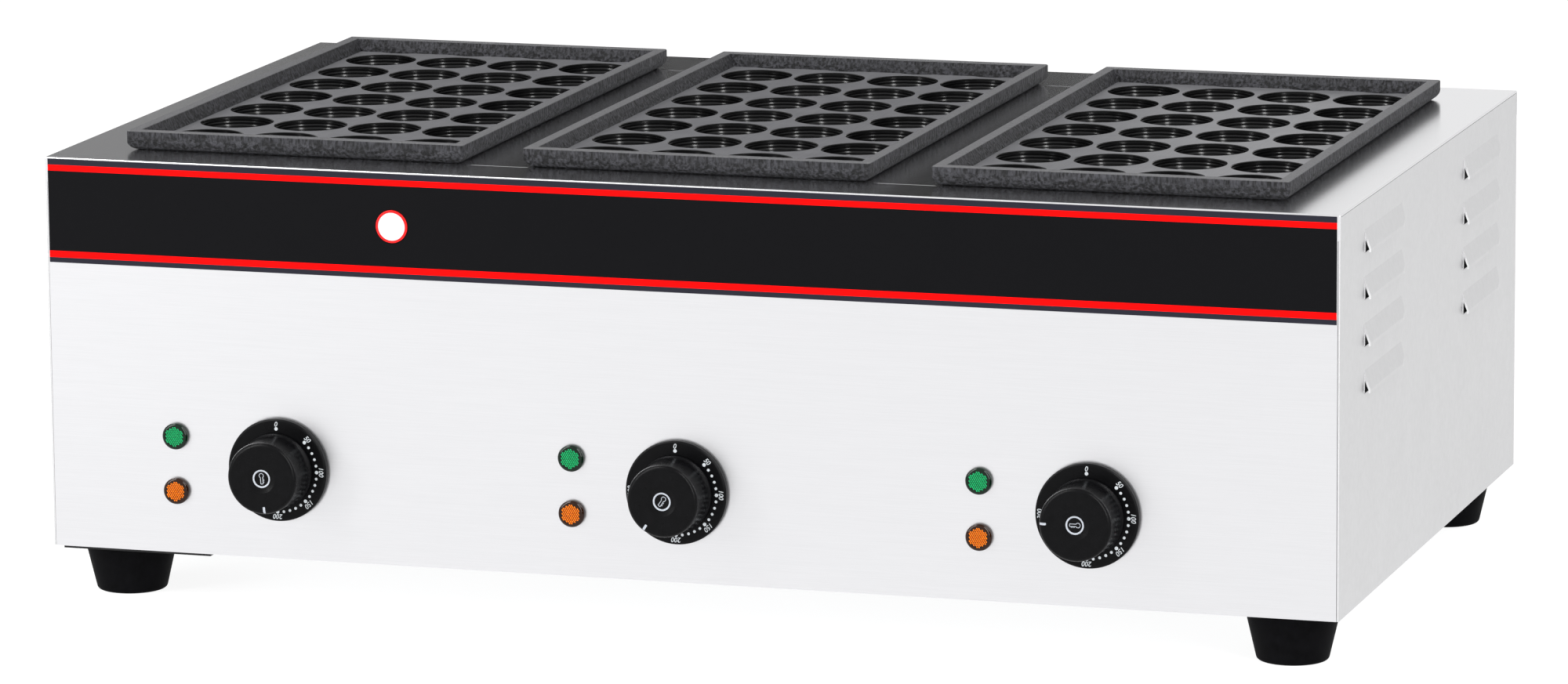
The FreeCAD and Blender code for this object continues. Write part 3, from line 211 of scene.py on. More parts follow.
def stainless_brushed(name, colour, axis, roughness):
    # Stainless steel 304, belt-brushed: fine lines one way, broken highlights across them.  Real lines are
    # 0.1 mm wide, so they are drawn 0.35 mm wide and 30 mm long to show.
    material, tree, place = begin("stainless_304_brushed_" + name)
    belt = strokes(tree, place, BRUSH_WIDTH, BRUSH_LENGTH, axis)
    streak = strokes(tree, place, 1.2 * MM, 90 * MM, axis, 0.0, 0.15)
    tone = layered(tree, shade(colour, 0.97), (belt, shade(colour, 1.01)), (streak, shade(colour, 0.96)))
    gloss = strokes(tree, place, BRUSH_WIDTH, BRUSH_LENGTH, axis, roughness - 0.01, roughness + 0.01)
    close(tree, {"Base Color": tone, "Metallic": 1.0, "Roughness": gloss})
    return material


def stainless_mill(colour):
    # Stainless steel 304, cold-rolled mill finish: matt, faintly mottled by the rolls, with a fine grain.
    material, tree, place = begin("stainless_304_mill_finish")
    mottle = lumps(tree, place, 3.5 * MM, detail=5.0)
    speck = lumps(tree, place, 1.1 * MM, 0.0, 0.5)
    tone = layered(tree, shade(colour, 0.955), (mottle, shade(colour, 1.02)), (speck, shade(colour, 0.97)))
    close(tree, {"Base Color": tone, "Metallic": 1.0, "Roughness": lumps(tree, place, 30 * MM, 0.4, 0.48)},
          {"Height": mottle, "Strength": 0.1, "Distance": 0.05 * MM})
    return material


def sheet_galvanised():
    # Hot-dip galvanised sheet: a spangle of zinc crystals about 12 mm across, each a slightly other grey.
    material, tree, place = begin("sheet_steel_galvanised")
    spangle = add(tree, "TexVoronoi", {"Vector": place, "Scale": 1 / SPANGLE_SIZE})["Color"]
    crystal = add(tree, "SeparateColor", {"Color": spangle})["Red"]
    tone = layered(tree, rgba("#A4A8AB"), (crystal, rgba("#C3C7C9")))
    gloss = add(tree, "MapRange", {"Value": crystal, "To Min": 0.35, "To Max": 0.55})["Result"]
    close(tree, {"Base Color": tone, "Metallic": 1.0, "Roughness": gloss},
          {"Height": lumps(tree, place, 2 * MM), "Strength": 0.1, "Distance": 0.1 * MM})
    return material


# ---- cast plates ----
CUP_ACROSS = 41.5 * MM
CUP_ALONG = 44 * MM
CUP_REACH = 19.5 * MM  # from the middle of a cup's mouth to just outside its edge
CUP_CENTRE = 1.6 * MM  # below the floor
BASIN_SIDE = 83.9 * MM
BASIN_END = 158.9 * MM
FLOOR_DROP = 6.8 * MM  # below the rim's top
FLOOR_BAND = 0.2 * MM  # to each side of the floor's height
# Where the rim's top, paler from grinding and from a painted highlight of the light above, and its file marks
# start, and where they are full, below the rim's top
GROUND_AND_LIT_BAND = (0.45 * MM, 0.1 * MM)
FILED_BAND = (5 * MM, 2 * MM)
RING_SPACING = 1.7765 * MM


def plate_regions(tree, place):
    """Masks of the plates' cups, of their milled floor, of the rim's top, which is painted paler as a
    highlight, and of the filed part of the rim.
    """
    low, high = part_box("takoyaki_plate_centre")
    zone_pitch = (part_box("takoyaki_plate_right")[1] - high).x
    rim_top = high.z
    floor = rim_top - FLOOR_DROP
    x, y, z = add(tree, "SeparateXYZ", {"Vector": place})
    across = add(tree, "Math", {0: x, 1: zone_pitch / 2, 2: -zone_pitch / 2}, operation="WRAP")[0]
    along = add(tree, "Math", {0: y, 1: (low.y + high.y) / 2}, operation="SUBTRACT")[0]

    basin = 1.0
    for offset, limit in ((across, BASIN_SIDE), (along, BASIN_END)):
        distance = add(tree, "Math", {0: offset}, operation="ABSOLUTE")[0]
        within = add(tree, "Math", {0: distance, 1: limit}, operation="LESS_THAN")[0]
        basin = add(tree, "Math", {0: within, 1: basin}, operation="MULTIPLY")[0]

    # Four columns put the zone's middle between two cups, and seven rows put it on one
    from_column = add(tree, "Math", {0: across, 1: CUP_ACROSS, 2: 0.0}, operation="WRAP")[0]
    from_column = add(tree, "Math", {0: from_column, 1: CUP_ACROSS / 2}, operation="SUBTRACT")[0]
    from_row = add(tree, "Math", {0: along, 1: CUP_ALONG / 2, 2: -CUP_ALONG / 2}, operation="WRAP")[0]
    from_centre = add(tree, "Math", {0: z, 1: floor - CUP_CENTRE}, operation="SUBTRACT")[0]
    spot = add(tree, "CombineXYZ", {"X": from_column, "Y": from_row, "Z": from_centre})["Vector"]
    distance = add(tree, "VectorMath", {0: spot}, operation="LENGTH")["Value"]
    near = add(tree, "Math", {0: distance, 1: CUP_REACH}, operation="LESS_THAN")[0]
    cup = add(tree, "Math", {0: near, 1: basin}, operation="MULTIPLY")[0]

    level = add(tree, "Math", {0: z, 1: floor, 2: FLOOR_BAND}, operation="COMPARE")[0]
    milled = add(tree, "Math", {0: level, 1: basin}, operation="MULTIPLY")[0]
    ground_and_lit_top, filed = [add(tree, "MapRange", {"Value": z, "From Min": rim_top - start,
                                            "From Max": rim_top - full})["Result"]
                     for start, full in (GROUND_AND_LIT_BAND, FILED_BAND)]
    return cup, milled, ground_and_lit_top, filed


def iron_seasoned(colour):
    # Grey cast iron, oiled and baked black.  The rim keeps the sand's grain, which is 0.8 mm across and is
    # drawn at 1.8 mm to show, its pale specks partly painted glints, with upright file marks near its top.
    # The top is paler from grinding and from a painted highlight of the light from above.  The floor is
    # milled and worn smooth.  The cups are turned by a form tool and are glossy and blackest; its rings are
    # 0.9 mm apart and are drawn 1.8 mm apart to show.
    material, tree, place = begin("cast_iron_oiled_and_baked")
    cup, milled, ground_and_lit_top, filed = plate_regions(tree, place)

    sand = lumps(tree, place, 1.8 * MM, -0.7, 1.5, 5.0)
    dent = lumps(tree, place, 5 * MM, 0.0, 1.2)
    stain = lumps(tree, place, 14 * MM, 0.0, 0.5, 4.0)
    file_marks = strokes(tree, place, 1.2 * MM, 5 * MM, Z_AXIS, -0.3, 1.3)
    cutter = strokes(tree, place, 0.7 * MM, 30 * MM, Y_AXIS)
    ring = add(tree, "TexWave", {"Vector": place, "Scale": WAVE_REPEAT / RING_SPACING, "Distortion": 0.8,
                                 "Detail": 2.0}, wave_type="BANDS", bands_direction="Z")["Fac"]

    # The sand's grain and the file marks; in the colour below, their pale specks are partly painted glints.
    grain_and_glints = add(tree, "Mix", {FACTOR: filed, LOW_NUMBER: sand, HIGH_NUMBER: file_marks})["Result"]
    # The rim's top is painted paler, a painted highlight of the light from above, over its grinding.
    skin = layered(tree, shade(colour, 0.05), (grain_and_glints, shade(colour, 2.7)), (stain, shade(colour, 0.6)),
                   (ground_and_lit_top, rgba("#6C6C6E")))
    worn = layered(tree, rgba("#6A6A6D"), (cutter, rgba("#747477")), (stain, rgba("#5E5E61")))
    turned = layered(tree, rgba("#050505"), (ring, rgba("#0B0B0C")))
    tone = layered(tree, skin, (milled, worn), (cup, turned))

    rough = add(tree, "Math", {0: grain_and_glints, 1: dent}, operation="ADD")[0]
    tool_mark = add(tree, "Math", {0: ring, 1: 0.12}, operation="MULTIPLY")[0]
    relief = add(tree, "Mix", {FACTOR: cup, LOW_NUMBER: rough, HIGH_NUMBER: tool_mark})["Result"]
    relief = add(tree, "Mix", {FACTOR: milled, LOW_NUMBER: relief, HIGH_NUMBER: 0.5})["Result"]
    gloss = add(tree, "Mix", {FACTOR: milled, LOW_NUMBER: 0.62, HIGH_NUMBER: 0.42})["Result"]
    gloss = add(tree, "Mix", {FACTOR: cup, LOW_NUMBER: gloss, HIGH_NUMBER: 0.2})["Result"]
    close(tree, {"Base Color": tone, "Roughness": gloss, "IOR": 1.5, "Specular IOR Level": 0.28},
          {"Height": relief, "Strength": 1.0, "Distance": 0.5 * MM})
    return material


# ---- print, resin, rubber and the rest ----
# Both edges of each red stripe, in from the label's lower edge and from its upper edge
LOWER_STRIPE = (2.7 * MM, 6.1 * MM)
UPPER_STRIPE = (6.2 * MM, 3.1 * MM)
YARN_SPACING = 2.735 * MM
YARN_LEAN = (0.6, 0.8, 0.9)  # radians about each axis


def label_film(colours):
    # Printed polyester film: deep black under a fine matt texture, two red stripes, and a bluer black
    # outside them.
    material, tree, place = begin("polyester_film_printed")
    low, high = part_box("control_label")
    height = add(tree, "SeparateXYZ", {"Vector": place})["Z"]
    margin = rgba("#25252D")
    stripe = (*colours.stripe, 1)
    edges = ((low.z + LOWER_STRIPE[0], stripe), (low.z + LOWER_STRIPE[1], (*colours.label, 1)),
             (high.z - UPPER_STRIPE[0], stripe), (high.z - UPPER_STRIPE[1], margin))
    layers = []
    for level, colour in edges:
        above = add(tree, "MapRange", {"Value": height, "From Min": level - TINY,
                                       "From Max": level + TINY})["Result"]
        layers.append((above, colour))
    gloss = lumps(tree, place, 25 * MM, 0.4, 0.46)
    close(tree, {"Base Color": layered(tree, margin, *layers), "Roughness": gloss, "IOR": 1.5,
                 "Specular IOR Level": 0.05},
          {"Height": lumps(tree, place, 0.4 * MM), "Strength": 0.05, "Distance": 0.05 * MM})
    return material


def resin_black(colour):
    # Phenolic resin, compression-moulded in a spark-eroded mould: black, satin, with a grain of 0.4 mm.
    material, tree, place = begin("phenolic_resin_moulded_black")
    spark = lumps(tree, place, 0.4 * MM)
    patch = lumps(tree, place, 5 * MM)
    tone = layered(tree, shade(colour, 0.8), (patch, shade(colour, 1.8)), (spark, shade(colour, 1.2)))
    close(tree, {"Base Color": tone, "Roughness": lumps(tree, place, 6 * MM, 0.26, 0.33), "IOR": 1.5,
                 "Specular IOR Level": 0.08},
          {"Height": spark, "Strength": 0.3, "Distance": 0.05 * MM})
    return material


def ink_printed(name, colour):
    # Epoxy ink, pad-printed: matt, and thin in places.
    material, tree, place = begin("epoxy_ink_pad_printed_" + name)
    tone = layered(tree, shade(colour, 0.72), (lumps(tree, place, 0.7 * MM), shade(colour, 1.05)))
    close(tree, {"Base Color": tone, "Roughness": 0.5, "IOR": 1.5})
    return material


def polycarbonate_tinted(name, colour):
    # Polycarbonate, tinted and injection-moulded: glossy and milky, with flow marks 1.5 mm across.
    material, tree, place = begin("polycarbonate_tinted_" + name)
    tone = layered(tree, shade(colour, 0.8), (lumps(tree, place, 1.5 * MM), shade(colour, 1.15)))
    close(tree, {"Base Color": tone, "Roughness": lumps(tree, place, 2 * MM, 0.06, 0.12), "IOR": 1.585,
                 "Specular IOR Level": 0.2})
    return material


def rubber_moulded():
    # Nitrile rubber, moulded: matt black with a fine skin and a little bloom.
    material, tree, place = begin("nitrile_rubber_moulded")
    bloom = lumps(tree, place, 6 * MM, detail=4.0)
    tone = layered(tree, rgba("#060607"), (bloom, rgba("#0D0D0F")))
    close(tree, {"Base Color": tone, "Roughness": lumps(tree, place, 6 * MM, 0.55, 0.7), "IOR": 1.5,
                 "Specular IOR Level": 0.03},
          {"Height": lumps(tree, place, 0.6 * MM), "Strength": 0.25, "Distance": 0.06 * MM})
    return material


def glass_sleeve():
    # Braided glass-fibre sleeve: off-white yarns crossing both ways.  They are 1.2 mm apart and are drawn
    # 2.7 mm apart to show.
    material, tree, place = begin("glass_fibre_sleeve_braided")
    yarn = []
    for side in (-1, 1):
        lean = [side * angle for angle in YARN_LEAN]
        slanted = add(tree, "Mapping", {"Vector": place, "Rotation": lean})["Vector"]
        yarn.append(add(tree, "TexWave", {"Vector": slanted, "Scale": DIAGONAL_REPEAT / YARN_SPACING},
                        wave_type="BANDS", bands_direction="DIAGONAL")["Fac"])
    braid = add(tree, "Math", {0: yarn[0], 1: yarn[1]}, operation="MAXIMUM")[0]
    tone = layered(tree, rgba("#A7A296"), (braid, rgba("#E4E0D4")))
    close(tree, {"Base Color": tone, "Roughness": 0.85, "Sheen Weight": 0.2},
          {"Height": braid, "Strength": 0.6, "Distance": 0.2 * MM})
    return material


def metal_part(name, dark, light, roughness, size):
    """Small metal parts, whose tone drifts between two colours over size metres."""
    material, tree, place = begin(name)
    tone = layered(tree, rgba(dark), (lumps(tree, place, size, detail=4.0), rgba(light)))
    close(tree, {"Base Color": tone, "Metallic": 1.0,
                 "Roughness": lumps(tree, place, size, roughness - 0.06, roughness + 0.08)},
          {"Height": lumps(tree, place, 0.5 * MM), "Strength": 0.1, "Distance": 0.04 * MM})
    return material


def moulded_part(name, dark, light, roughness, size):
    """Moulded, coated or fired parts, whose tone drifts between two colours over size metres."""
    material, tree, place = begin(name)
    drift = lumps(tree, place, size, detail=4.0)
    tone = layered(tree, rgba(dark), (drift, rgba(light)))
    close(tree, {"Base Color": tone, "Roughness": roughness, "IOR": 1.5, "Specular IOR Level": 0.3},
          {"Height": drift, "Strength": 0.15, "Distance": 0.08 * MM})
    return material


# ---- modelling helpers ----
SMOOTH_BELOW = math.radians(35)
TO_FRONT = Matrix.Rotation(math.radians(90), 4, "X")  # turns what lies face up to face the front


def deselect():
    if bpy.context.mode != "OBJECT":
        bpy.ops.object.mode_set(mode="OBJECT")
    bpy.ops.object.select_all(action="DESELECT")


def pick(*pieces):
    """Selects these pieces alone; the first becomes active."""
    deselect()
    for piece in pieces:
        piece.select_set(True)
    bpy.context.view_layer.objects.active = pieces[0]


def settle(piece, place=Matrix.Identity(4)):
    """Moves a piece by place and puts that, and its own place, into its mesh."""
    piece.matrix_basis = place @ piece.matrix_basis
    pick(piece)
    bpy.ops.object.transform_apply(location=True, rotation=True, scale=True)
    return piece


def stretched(scale):
    """The piece just added, stretched."""
    piece = bpy.context.active_object
    piece.scale = scale
    return settle(piece)


def copy_of(piece, name, place=Matrix.Identity(4)):
    """A copy with its own mesh, moved by place."""
    pick(piece)
    bpy.ops.object.duplicate()
    twin = bpy.context.active_object
    twin.name = twin.data.name = name
    return settle(twin, place)


def join(name, pieces):
    pick(*pieces)
    bpy.ops.object.join()
    joined = bpy.context.active_object
    joined.name = joined.data.name = name
    return joined


def discard(*patterns):
    """Removes the patterns that copies were made from."""
    for pattern in patterns:
        bpy.data.objects.remove(pattern)


def choose(piece, kind, wanted):
    """Selects, in edit mode, the faces or edges whose corners all pass a test."""
    pick(piece)
    bpy.ops.object.mode_set(mode="EDIT")
    bpy.ops.mesh.select_mode(type=kind)
    bpy.ops.mesh.select_all(action="DESELECT")
    bpy.ops.object.mode_set(mode="OBJECT")
    mesh = piece.data
    for item in mesh.polygons if kind == "FACE" else mesh.edges:
        item.select = all(wanted(mesh.vertices[corner].co) for corner in item.vertices)
    bpy.ops.object.mode_set(mode="EDIT")


def extrude(out):
    """Extrudes the chosen faces upwards."""
    bpy.ops.mesh.extrude_region_move(TRANSFORM_OT_translate={"value": (0, 0, out)})


def finish_mesh(piece):
    """Merges doubles, turns the faces outwards and smooths all but sharp edges."""
    pick(piece)
    bpy.ops.object.mode_set(mode="EDIT")
    bpy.ops.mesh.select_all(action="SELECT")
    bpy.ops.mesh.remove_doubles(threshold=0.001 * MM)
    bpy.ops.mesh.normals_make_consistent(inside=False)
    bpy.ops.object.mode_set(mode="OBJECT")
    bpy.ops.object.shade_smooth_by_angle(angle=SMOOTH_BELOW)


def modify(piece, kind, **settings):
    """Adds a modifier and applies it."""
    pick(piece)
    modifier = piece.modifiers.new(kind, kind)
    for name, setting in settings.items():
        setattr(modifier, name, setting)
    bpy.ops.object.modifier_apply(modifier=modifier.name)


def paint(piece, *materials):
    """Gives a new piece its finish, one for each of its slots."""
    piece.data.materials.clear()
    for material in materials:
        piece.data.materials.append(material)


def belong(piece, body, slot, *replaced):
    """Hangs a new piece on the body that it rides and hides the solids that it stands for; its slot is not
    used.
    """
    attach(piece, body)
    if replaced:
        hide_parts(*replaced)


def wear(material, *nodes):
    """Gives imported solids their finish."""
    for node in nodes:
        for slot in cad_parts[node].material_slots:
            slot.material = material


def in_each_zone(pattern):
    return [pattern.format(zone) for zone in ZONES]


def front_of(node):
    """The middle of a node's front, and the turn that lays a flat piece against it."""
    low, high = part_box(node)
    middle = Vector(((low.x + high.x) / 2, low.y, (low.z + high.z) / 2))
    return Matrix.Translation(middle) @ TO_FRONT


def around(radius, clockwise):
    """A place on a circle, clockwise from its top, with the piece's head outwards."""
    return Matrix.Rotation(-math.radians(clockwise), 4, "Z") @ Matrix.Translation((0, radius, 0))


# ---- cabinet and plates ----
class COOKER_OT_cabinet(bpy.types.Operator):
    """Brushes the deck, front and dividers, and gives the sides and back their mill finish"""

    bl_idname = "cooker.cabinet"
    bl_label = "Cabinet"

    def execute(self, context):
        colours = context.scene.cooker_colours
        wear(stainless_brushed("front", colours.steel, X_AXIS, 0.3), "front_panel")
        wear(stainless_brushed("deck", colours.deck_steel, X_AXIS, 0.19), "top_deck")
        wear(stainless_brushed("divider", colours.deck_steel, Y_AXIS, 0.19),
             "divider_strip_left", "divider_strip_right")
        wear(stainless_mill(colours.side_steel), "left_side_panel", "right_side_panel", "back_panel")
        wear(sheet_galvanised(), "bottom_plate", *in_each_zone("heat_tray_{}"),
             *in_each_zone("element_rests_{}"))
        return {"FINISHED"}


class COOKER_OT_plates(bpy.types.Operator):
    """Gives the three cast plates their skins"""

    bl_idname = "cooker.plates"
    bl_label = "Cast plates"

    def execute(self, context):
        wear(iron_seasoned(context.scene.cooker_colours.iron), *in_each_zone("takoyaki_plate_{}"))
        return {"FINISHED"}


# ---- control label ----
BADGE_FROM_LEFT = 189.5 * MM
BADGE_ABOVE = 27.2 * MM  # over the label's lower edge
BADGE_PROUD = 0.3 * MM  # from the label's front to the middle of the badge's thickness
BADGE_THICKNESS = 0.7 * MM
BADGE_EDGE = 0.2 * MM
BADGE_RIM = 1.0 * MM
BADGE_DISH = 0.2 * MM


class COOKER_OT_label(bpy.types.Operator):
    """Prints the control label and sets its plain badge"""

    bl_idname = "cooker.label"
    bl_label = "Control label"

    def execute(self, context):
        wear(label_film(context.scene.cooker_colours), "control_label")

        # A disc with a raised rim round a blank field
        deselect()
        bpy.ops.mesh.primitive_cylinder_add(vertices=64, radius=context.scene.cooker_sizes.badge_radius,
                                            depth=BADGE_THICKNESS)
        badge = context.active_object
        badge.name = badge.data.name = "label_badge"
        front = BADGE_THICKNESS / 2 - TINY
        choose(badge, "EDGE", lambda corner: corner.z > front)
        bpy.ops.mesh.bevel(offset=BADGE_EDGE, segments=3, affect="EDGES")
        # Red lacquer, sprayed: glossy, with a faint orange peel.
        lacquer = moulded_part("lacquer_sprayed_red", "#E00A0A", "#FF1616", 0.3, 1.2 * MM)
        # Aluminium, bead-blasted and painted pale: a fine even satin.
        satin = moulded_part("aluminium_blasted_pale", "#D4D6D9", "#DEE0E3", 0.5, 0.5 * MM)
        paint(badge, lacquer, satin)
        choose(badge, "FACE", lambda corner: corner.z > front)
        bpy.ops.mesh.inset(thickness=BADGE_RIM)
        extrude(-BADGE_DISH)
        badge.active_material_index = 1
        bpy.ops.object.material_slot_assign()
        finish_mesh(badge)
        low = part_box("control_label")[0]
        place = Matrix.Translation((low.x + BADGE_FROM_LEFT, low.y - BADGE_PROUD, low.z + BADGE_ABOVE))
        settle(badge, place @ TO_FRONT)
        belong(badge, CABINET, "label_film")
        return {"FINISHED"}


# ---- dials ----
DIAL_STEP = 45  # degrees from one number to the next
DIAL_DOT_STEP = 9  # degrees from one dot to the next, from the second number to the last
DIAL_NUMBERS = ("0", "50", "100", "150", "200", "250", "300")
# How far each knob stands from its off position, clockwise, in degrees
KNOB_TURNS = {"left": 175, "centre": 213.5, "right": 270}

INK_DEPTH = 0.08 * MM
INK_EDGE = 0.04 * MM
INK_GAP = 0.03 * MM  # between a knob and its print
SMALL_DOT = 0.75 * MM
LARGE_DOT = 0.95 * MM
NUMBER_SLANT = 0.18
NUMBER_WEIGHT = 0.02 * MM  # added to each stroke
NUMBER_WIDTH = 0.95  # of the width that goes with the height

EMBLEM_LINE = 0.85 * MM
BULB_RADIUS = 1.35 * MM
TUBE_LENGTH = 3.2 * MM
TUBE_CUT = 0.78  # of the bulb's radius, above which its arc is drawn out into the tube
GAUGE_LINE = 0.3 * MM
GAUGE_DROP = 1.6 * MM
TICK = (0.75 * MM, 0.3 * MM)
TICK_SIDE = -0.95 * MM
TICK_FIRST = 0.35 * MM
TICK_SPACING = 0.75 * MM
POINTER = (1.25 * MM, 3.4 * MM)
POINTER_CORNER = 0.4 * MM
POINTER_CUTS = range(-4, 5)
POINTER_CUT_SPACING = 0.35 * MM


def printed_dot(radius):
    """One dot of ink with a rounded edge, face up."""
    deselect()
    bpy.ops.mesh.primitive_cylinder_add(vertices=20, radius=radius, depth=INK_DEPTH)
    dot = bpy.context.active_object
    choose(dot, "EDGE", lambda corner: corner.z > 0)
    bpy.ops.mesh.bevel(offset=INK_EDGE, segments=1, affect="EDGES")
    finish_mesh(dot)
    return dot


def printed_number(text, height):
    """A slanted number in ink, face up, with its middle at the origin."""
    deselect()
    bpy.ops.object.text_add()
    number = bpy.context.active_object
    number.data.body = text
    number.data.size = height
    number.data.shear = NUMBER_SLANT
    number.data.offset = NUMBER_WEIGHT
    number.data.extrude = INK_DEPTH / 2
    number.data.resolution_u = 4
    bpy.ops.object.convert(target="MESH")
    bpy.ops.object.origin_set(type="ORIGIN_GEOMETRY", center="BOUNDS")
    number.location = (0, 0, 0)
    taller = height / number.dimensions.y
    number.scale = (taller * NUMBER_WIDTH, taller, 1)
    settle(number)
    finish_mesh(number)
    return number


def dial_scale(sizes):
    """The dots and numbers of one dial, face up round the origin."""
    marks = []
    small = printed_dot(SMALL_DOT)
    large = printed_dot(LARGE_DOT)
    last = DIAL_STEP * (len(DIAL_NUMBERS) - 1)
    for clockwise in range(0, last + 1, DIAL_DOT_STEP):
        numbered = clockwise % DIAL_STEP == 0
        if numbered or clockwise > DIAL_STEP:
            dot = large if numbered else small
            marks.append(copy_of(dot, "dot", around(sizes.scale_radius, clockwise)))
    for index, text in enumerate(DIAL_NUMBERS):
        marks.append(settle(printed_number(text, sizes.number_height),
                            around(sizes.number_radius, index * DIAL_STEP)))
    discard(small, large)
    return join("dial_scale", marks)


def knob_print(sizes):
    """A knob's pointer, and in its dish a ring round a small thermometer, face up at the off position."""
    deselect()
    bpy.ops.mesh.primitive_circle_add(vertices=64, radius=sizes.emblem_radius, fill_type="NGON")
    ring = bpy.context.active_object
    choose(ring, "FACE", lambda corner: True)
    bpy.ops.mesh.inset(thickness=EMBLEM_LINE)
    bpy.ops.mesh.delete(type="FACE")

    # The thermometer's bulb, with its tube drawn out towards the pointer, as an outline
    deselect()
    bpy.ops.mesh.primitive_circle_add(vertices=20, radius=BULB_RADIUS, fill_type="NGON")
    gauge = bpy.context.active_object
    choose(gauge, "EDGE", lambda corner: corner.y > TUBE_CUT * BULB_RADIUS)
    bpy.ops.mesh.extrude_region_move(TRANSFORM_OT_translate={"value": (0, TUBE_LENGTH, 0)})
    bpy.ops.mesh.select_mode(type="FACE")
    bpy.ops.mesh.select_all(action="SELECT")
    bpy.ops.mesh.dissolve_faces()
    bpy.ops.mesh.inset(thickness=GAUGE_LINE)
    bpy.ops.mesh.delete(type="FACE")
    bpy.ops.object.mode_set(mode="OBJECT")
    settle(gauge, Matrix.Translation((0, -GAUGE_DROP, 0)))

    # Its marks, beside the tube
    ticks = []
    for rung in range(3):
        deselect()
        bpy.ops.mesh.primitive_plane_add(size=1, location=(TICK_SIDE, TICK_FIRST + TICK_SPACING * rung, 0))
        ticks.append(stretched((*TICK, 1)))

    # The pointer, cut across so that it can follow the knob's curved face
    deselect()
    bpy.ops.mesh.primitive_plane_add(size=1)
    pointer = stretched((*POINTER, 1))
    choose(pointer, "FACE", lambda corner: True)
    bpy.ops.mesh.bevel(offset=POINTER_CORNER, segments=3, affect="VERTICES")
    for cut in POINTER_CUTS:
        bpy.ops.mesh.select_all(action="SELECT")
        bpy.ops.mesh.bisect(plane_co=(0, POINTER_CUT_SPACING * cut, 0), plane_no=(0, 1, 0))
    bpy.ops.object.mode_set(mode="OBJECT")
    settle(pointer, Matrix.Translation((0, sizes.pointer_radius, 0)))
    return join("knob_print", [ring, gauge, pointer, *ticks])


class COOKER_OT_dials(bpy.types.Operator):
    """Prints the dial scales and the knobs' pointers"""

    bl_idname = "cooker.dials"
    bl_label = "Dials"

    def execute(self, context):
        colours = context.scene.cooker_colours
        sizes = context.scene.cooker_sizes
        wear(resin_black(colours.dial), *in_each_zone("dial_bezel_{}"), *in_each_zone("control_knob_{}"))
        white = ink_printed("white", colours.ink)
        silver = ink_printed("silver", colours.pointer)
        scale = dial_scale(sizes)
        marks = knob_print(sizes)
        for zone in ZONES:
            on_face = Matrix.Translation((0, 0, INK_DEPTH / 4))
            numbers = copy_of(scale, f"dial_scale_{zone}", front_of(f"dial_bezel_{zone}") @ on_face)
            paint(numbers, white)
            belong(numbers, CABINET, "black_resin")

            # The knob's print starts in front of the knob and is pressed back onto it
            knob = f"control_knob_{zone}"
            ahead = Matrix.Translation((0, 0, 1 * MM))
            turned = Matrix.Rotation(-math.radians(KNOB_TURNS[zone]), 4, "Z")
            knob_marks = copy_of(marks, f"knob_print_{zone}", front_of(knob) @ ahead @ turned)
            modify(knob_marks, "SHRINKWRAP", target=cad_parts[knob], wrap_method="PROJECT",
                   use_project_y=True, use_project_x=False, use_project_z=False,
                   use_negative_direction=False, use_positive_direction=True, offset=INK_GAP)
            modify(knob_marks, "SOLIDIFY", thickness=INK_DEPTH, offset=1.0)
            finish_mesh(knob_marks)
            paint(knob_marks, silver)
            belong(knob_marks, f"dial_{zone}", "black_resin")
        discard(scale, marks)
        return {"FINISHED"}


# ---- pilot lamps ----
PANEL_TO_LENS_TIP = 3.5 * MM
LENS_RADIUS = 7.0 * MM
LENS_HEIGHT = 3.2 * MM
LENS_SHOULDER = 1.7 * MM
# The shoulder's tint is a painted shade, standing for the lamp's dark inside seen through it.
SHOULDER_SHADE = 0.02  # of the window's brightness
WELL_LIP = 0.12 * MM
WELL_DEPTH = 0.2 * MM
PEG_INSET = 3.6 * MM
PEG_LENGTH = 4 * MM
WINDOW_RADIUS = 5.0 * MM
PRISM_HEIGHT = 0.4 * MM
PRISM_FOOT = 0.6  # of the pitch
PRISM_HEAD = 0.34  # of the pitch
PRISM_NARROW = 0.62
PRISM_SLANT = math.radians(32)


def lens_shell():
    """A lens's collar, rounded shoulder, sunk window and peg, face up."""
    deselect()
    bpy.ops.mesh.primitive_cylinder_add(vertices=48, radius=LENS_RADIUS, depth=LENS_HEIGHT,
                                        location=(0, 0, LENS_HEIGHT / 2))
    shell = settle(bpy.context.active_object)
    choose(shell, "EDGE", lambda corner: corner.z > LENS_HEIGHT - TINY)
    bpy.ops.mesh.bevel(offset=LENS_SHOULDER, segments=8, affect="EDGES")
    choose(shell, "FACE", lambda corner: corner.z > LENS_HEIGHT - TINY)
    bpy.ops.mesh.inset(thickness=WELL_LIP)
    extrude(-WELL_DEPTH)
    choose(shell, "FACE", lambda corner: corner.z < TINY)
    bpy.ops.mesh.inset(thickness=PEG_INSET)
    extrude(-PEG_LENGTH)
    finish_mesh(shell)
    return shell


def lens_prisms(pitch):
    """The slanted prisms of a lens's window, on a triangular grid, face up."""
    deselect()
    bpy.ops.mesh.primitive_cone_add(vertices=6, radius1=PRISM_FOOT * pitch, radius2=PRISM_HEAD * pitch,
                                    depth=PRISM_HEIGHT)
    prism = bpy.context.active_object
    prism.rotation_euler.z = PRISM_SLANT
    stretched((PRISM_NARROW, 1, 1))
    choose(prism, "FACE", lambda corner: corner.z < 0)
    bpy.ops.mesh.delete(type="FACE")
    prisms = []
    reach = int(WINDOW_RADIUS / pitch) + 1
    for row in range(-reach, reach + 1):
        for column in range(-reach, reach + 1):
            spot = Vector(((column + row % 2 / 2) * pitch, row * pitch * math.sqrt(0.75), 0))
            if spot.length < WINDOW_RADIUS:
                spot.z = LENS_HEIGHT - WELL_DEPTH + PRISM_HEIGHT / 2
                prisms.append(copy_of(prism, "prism", Matrix.Translation(spot)))
    discard(prism)
    return join("lens_prisms", prisms)


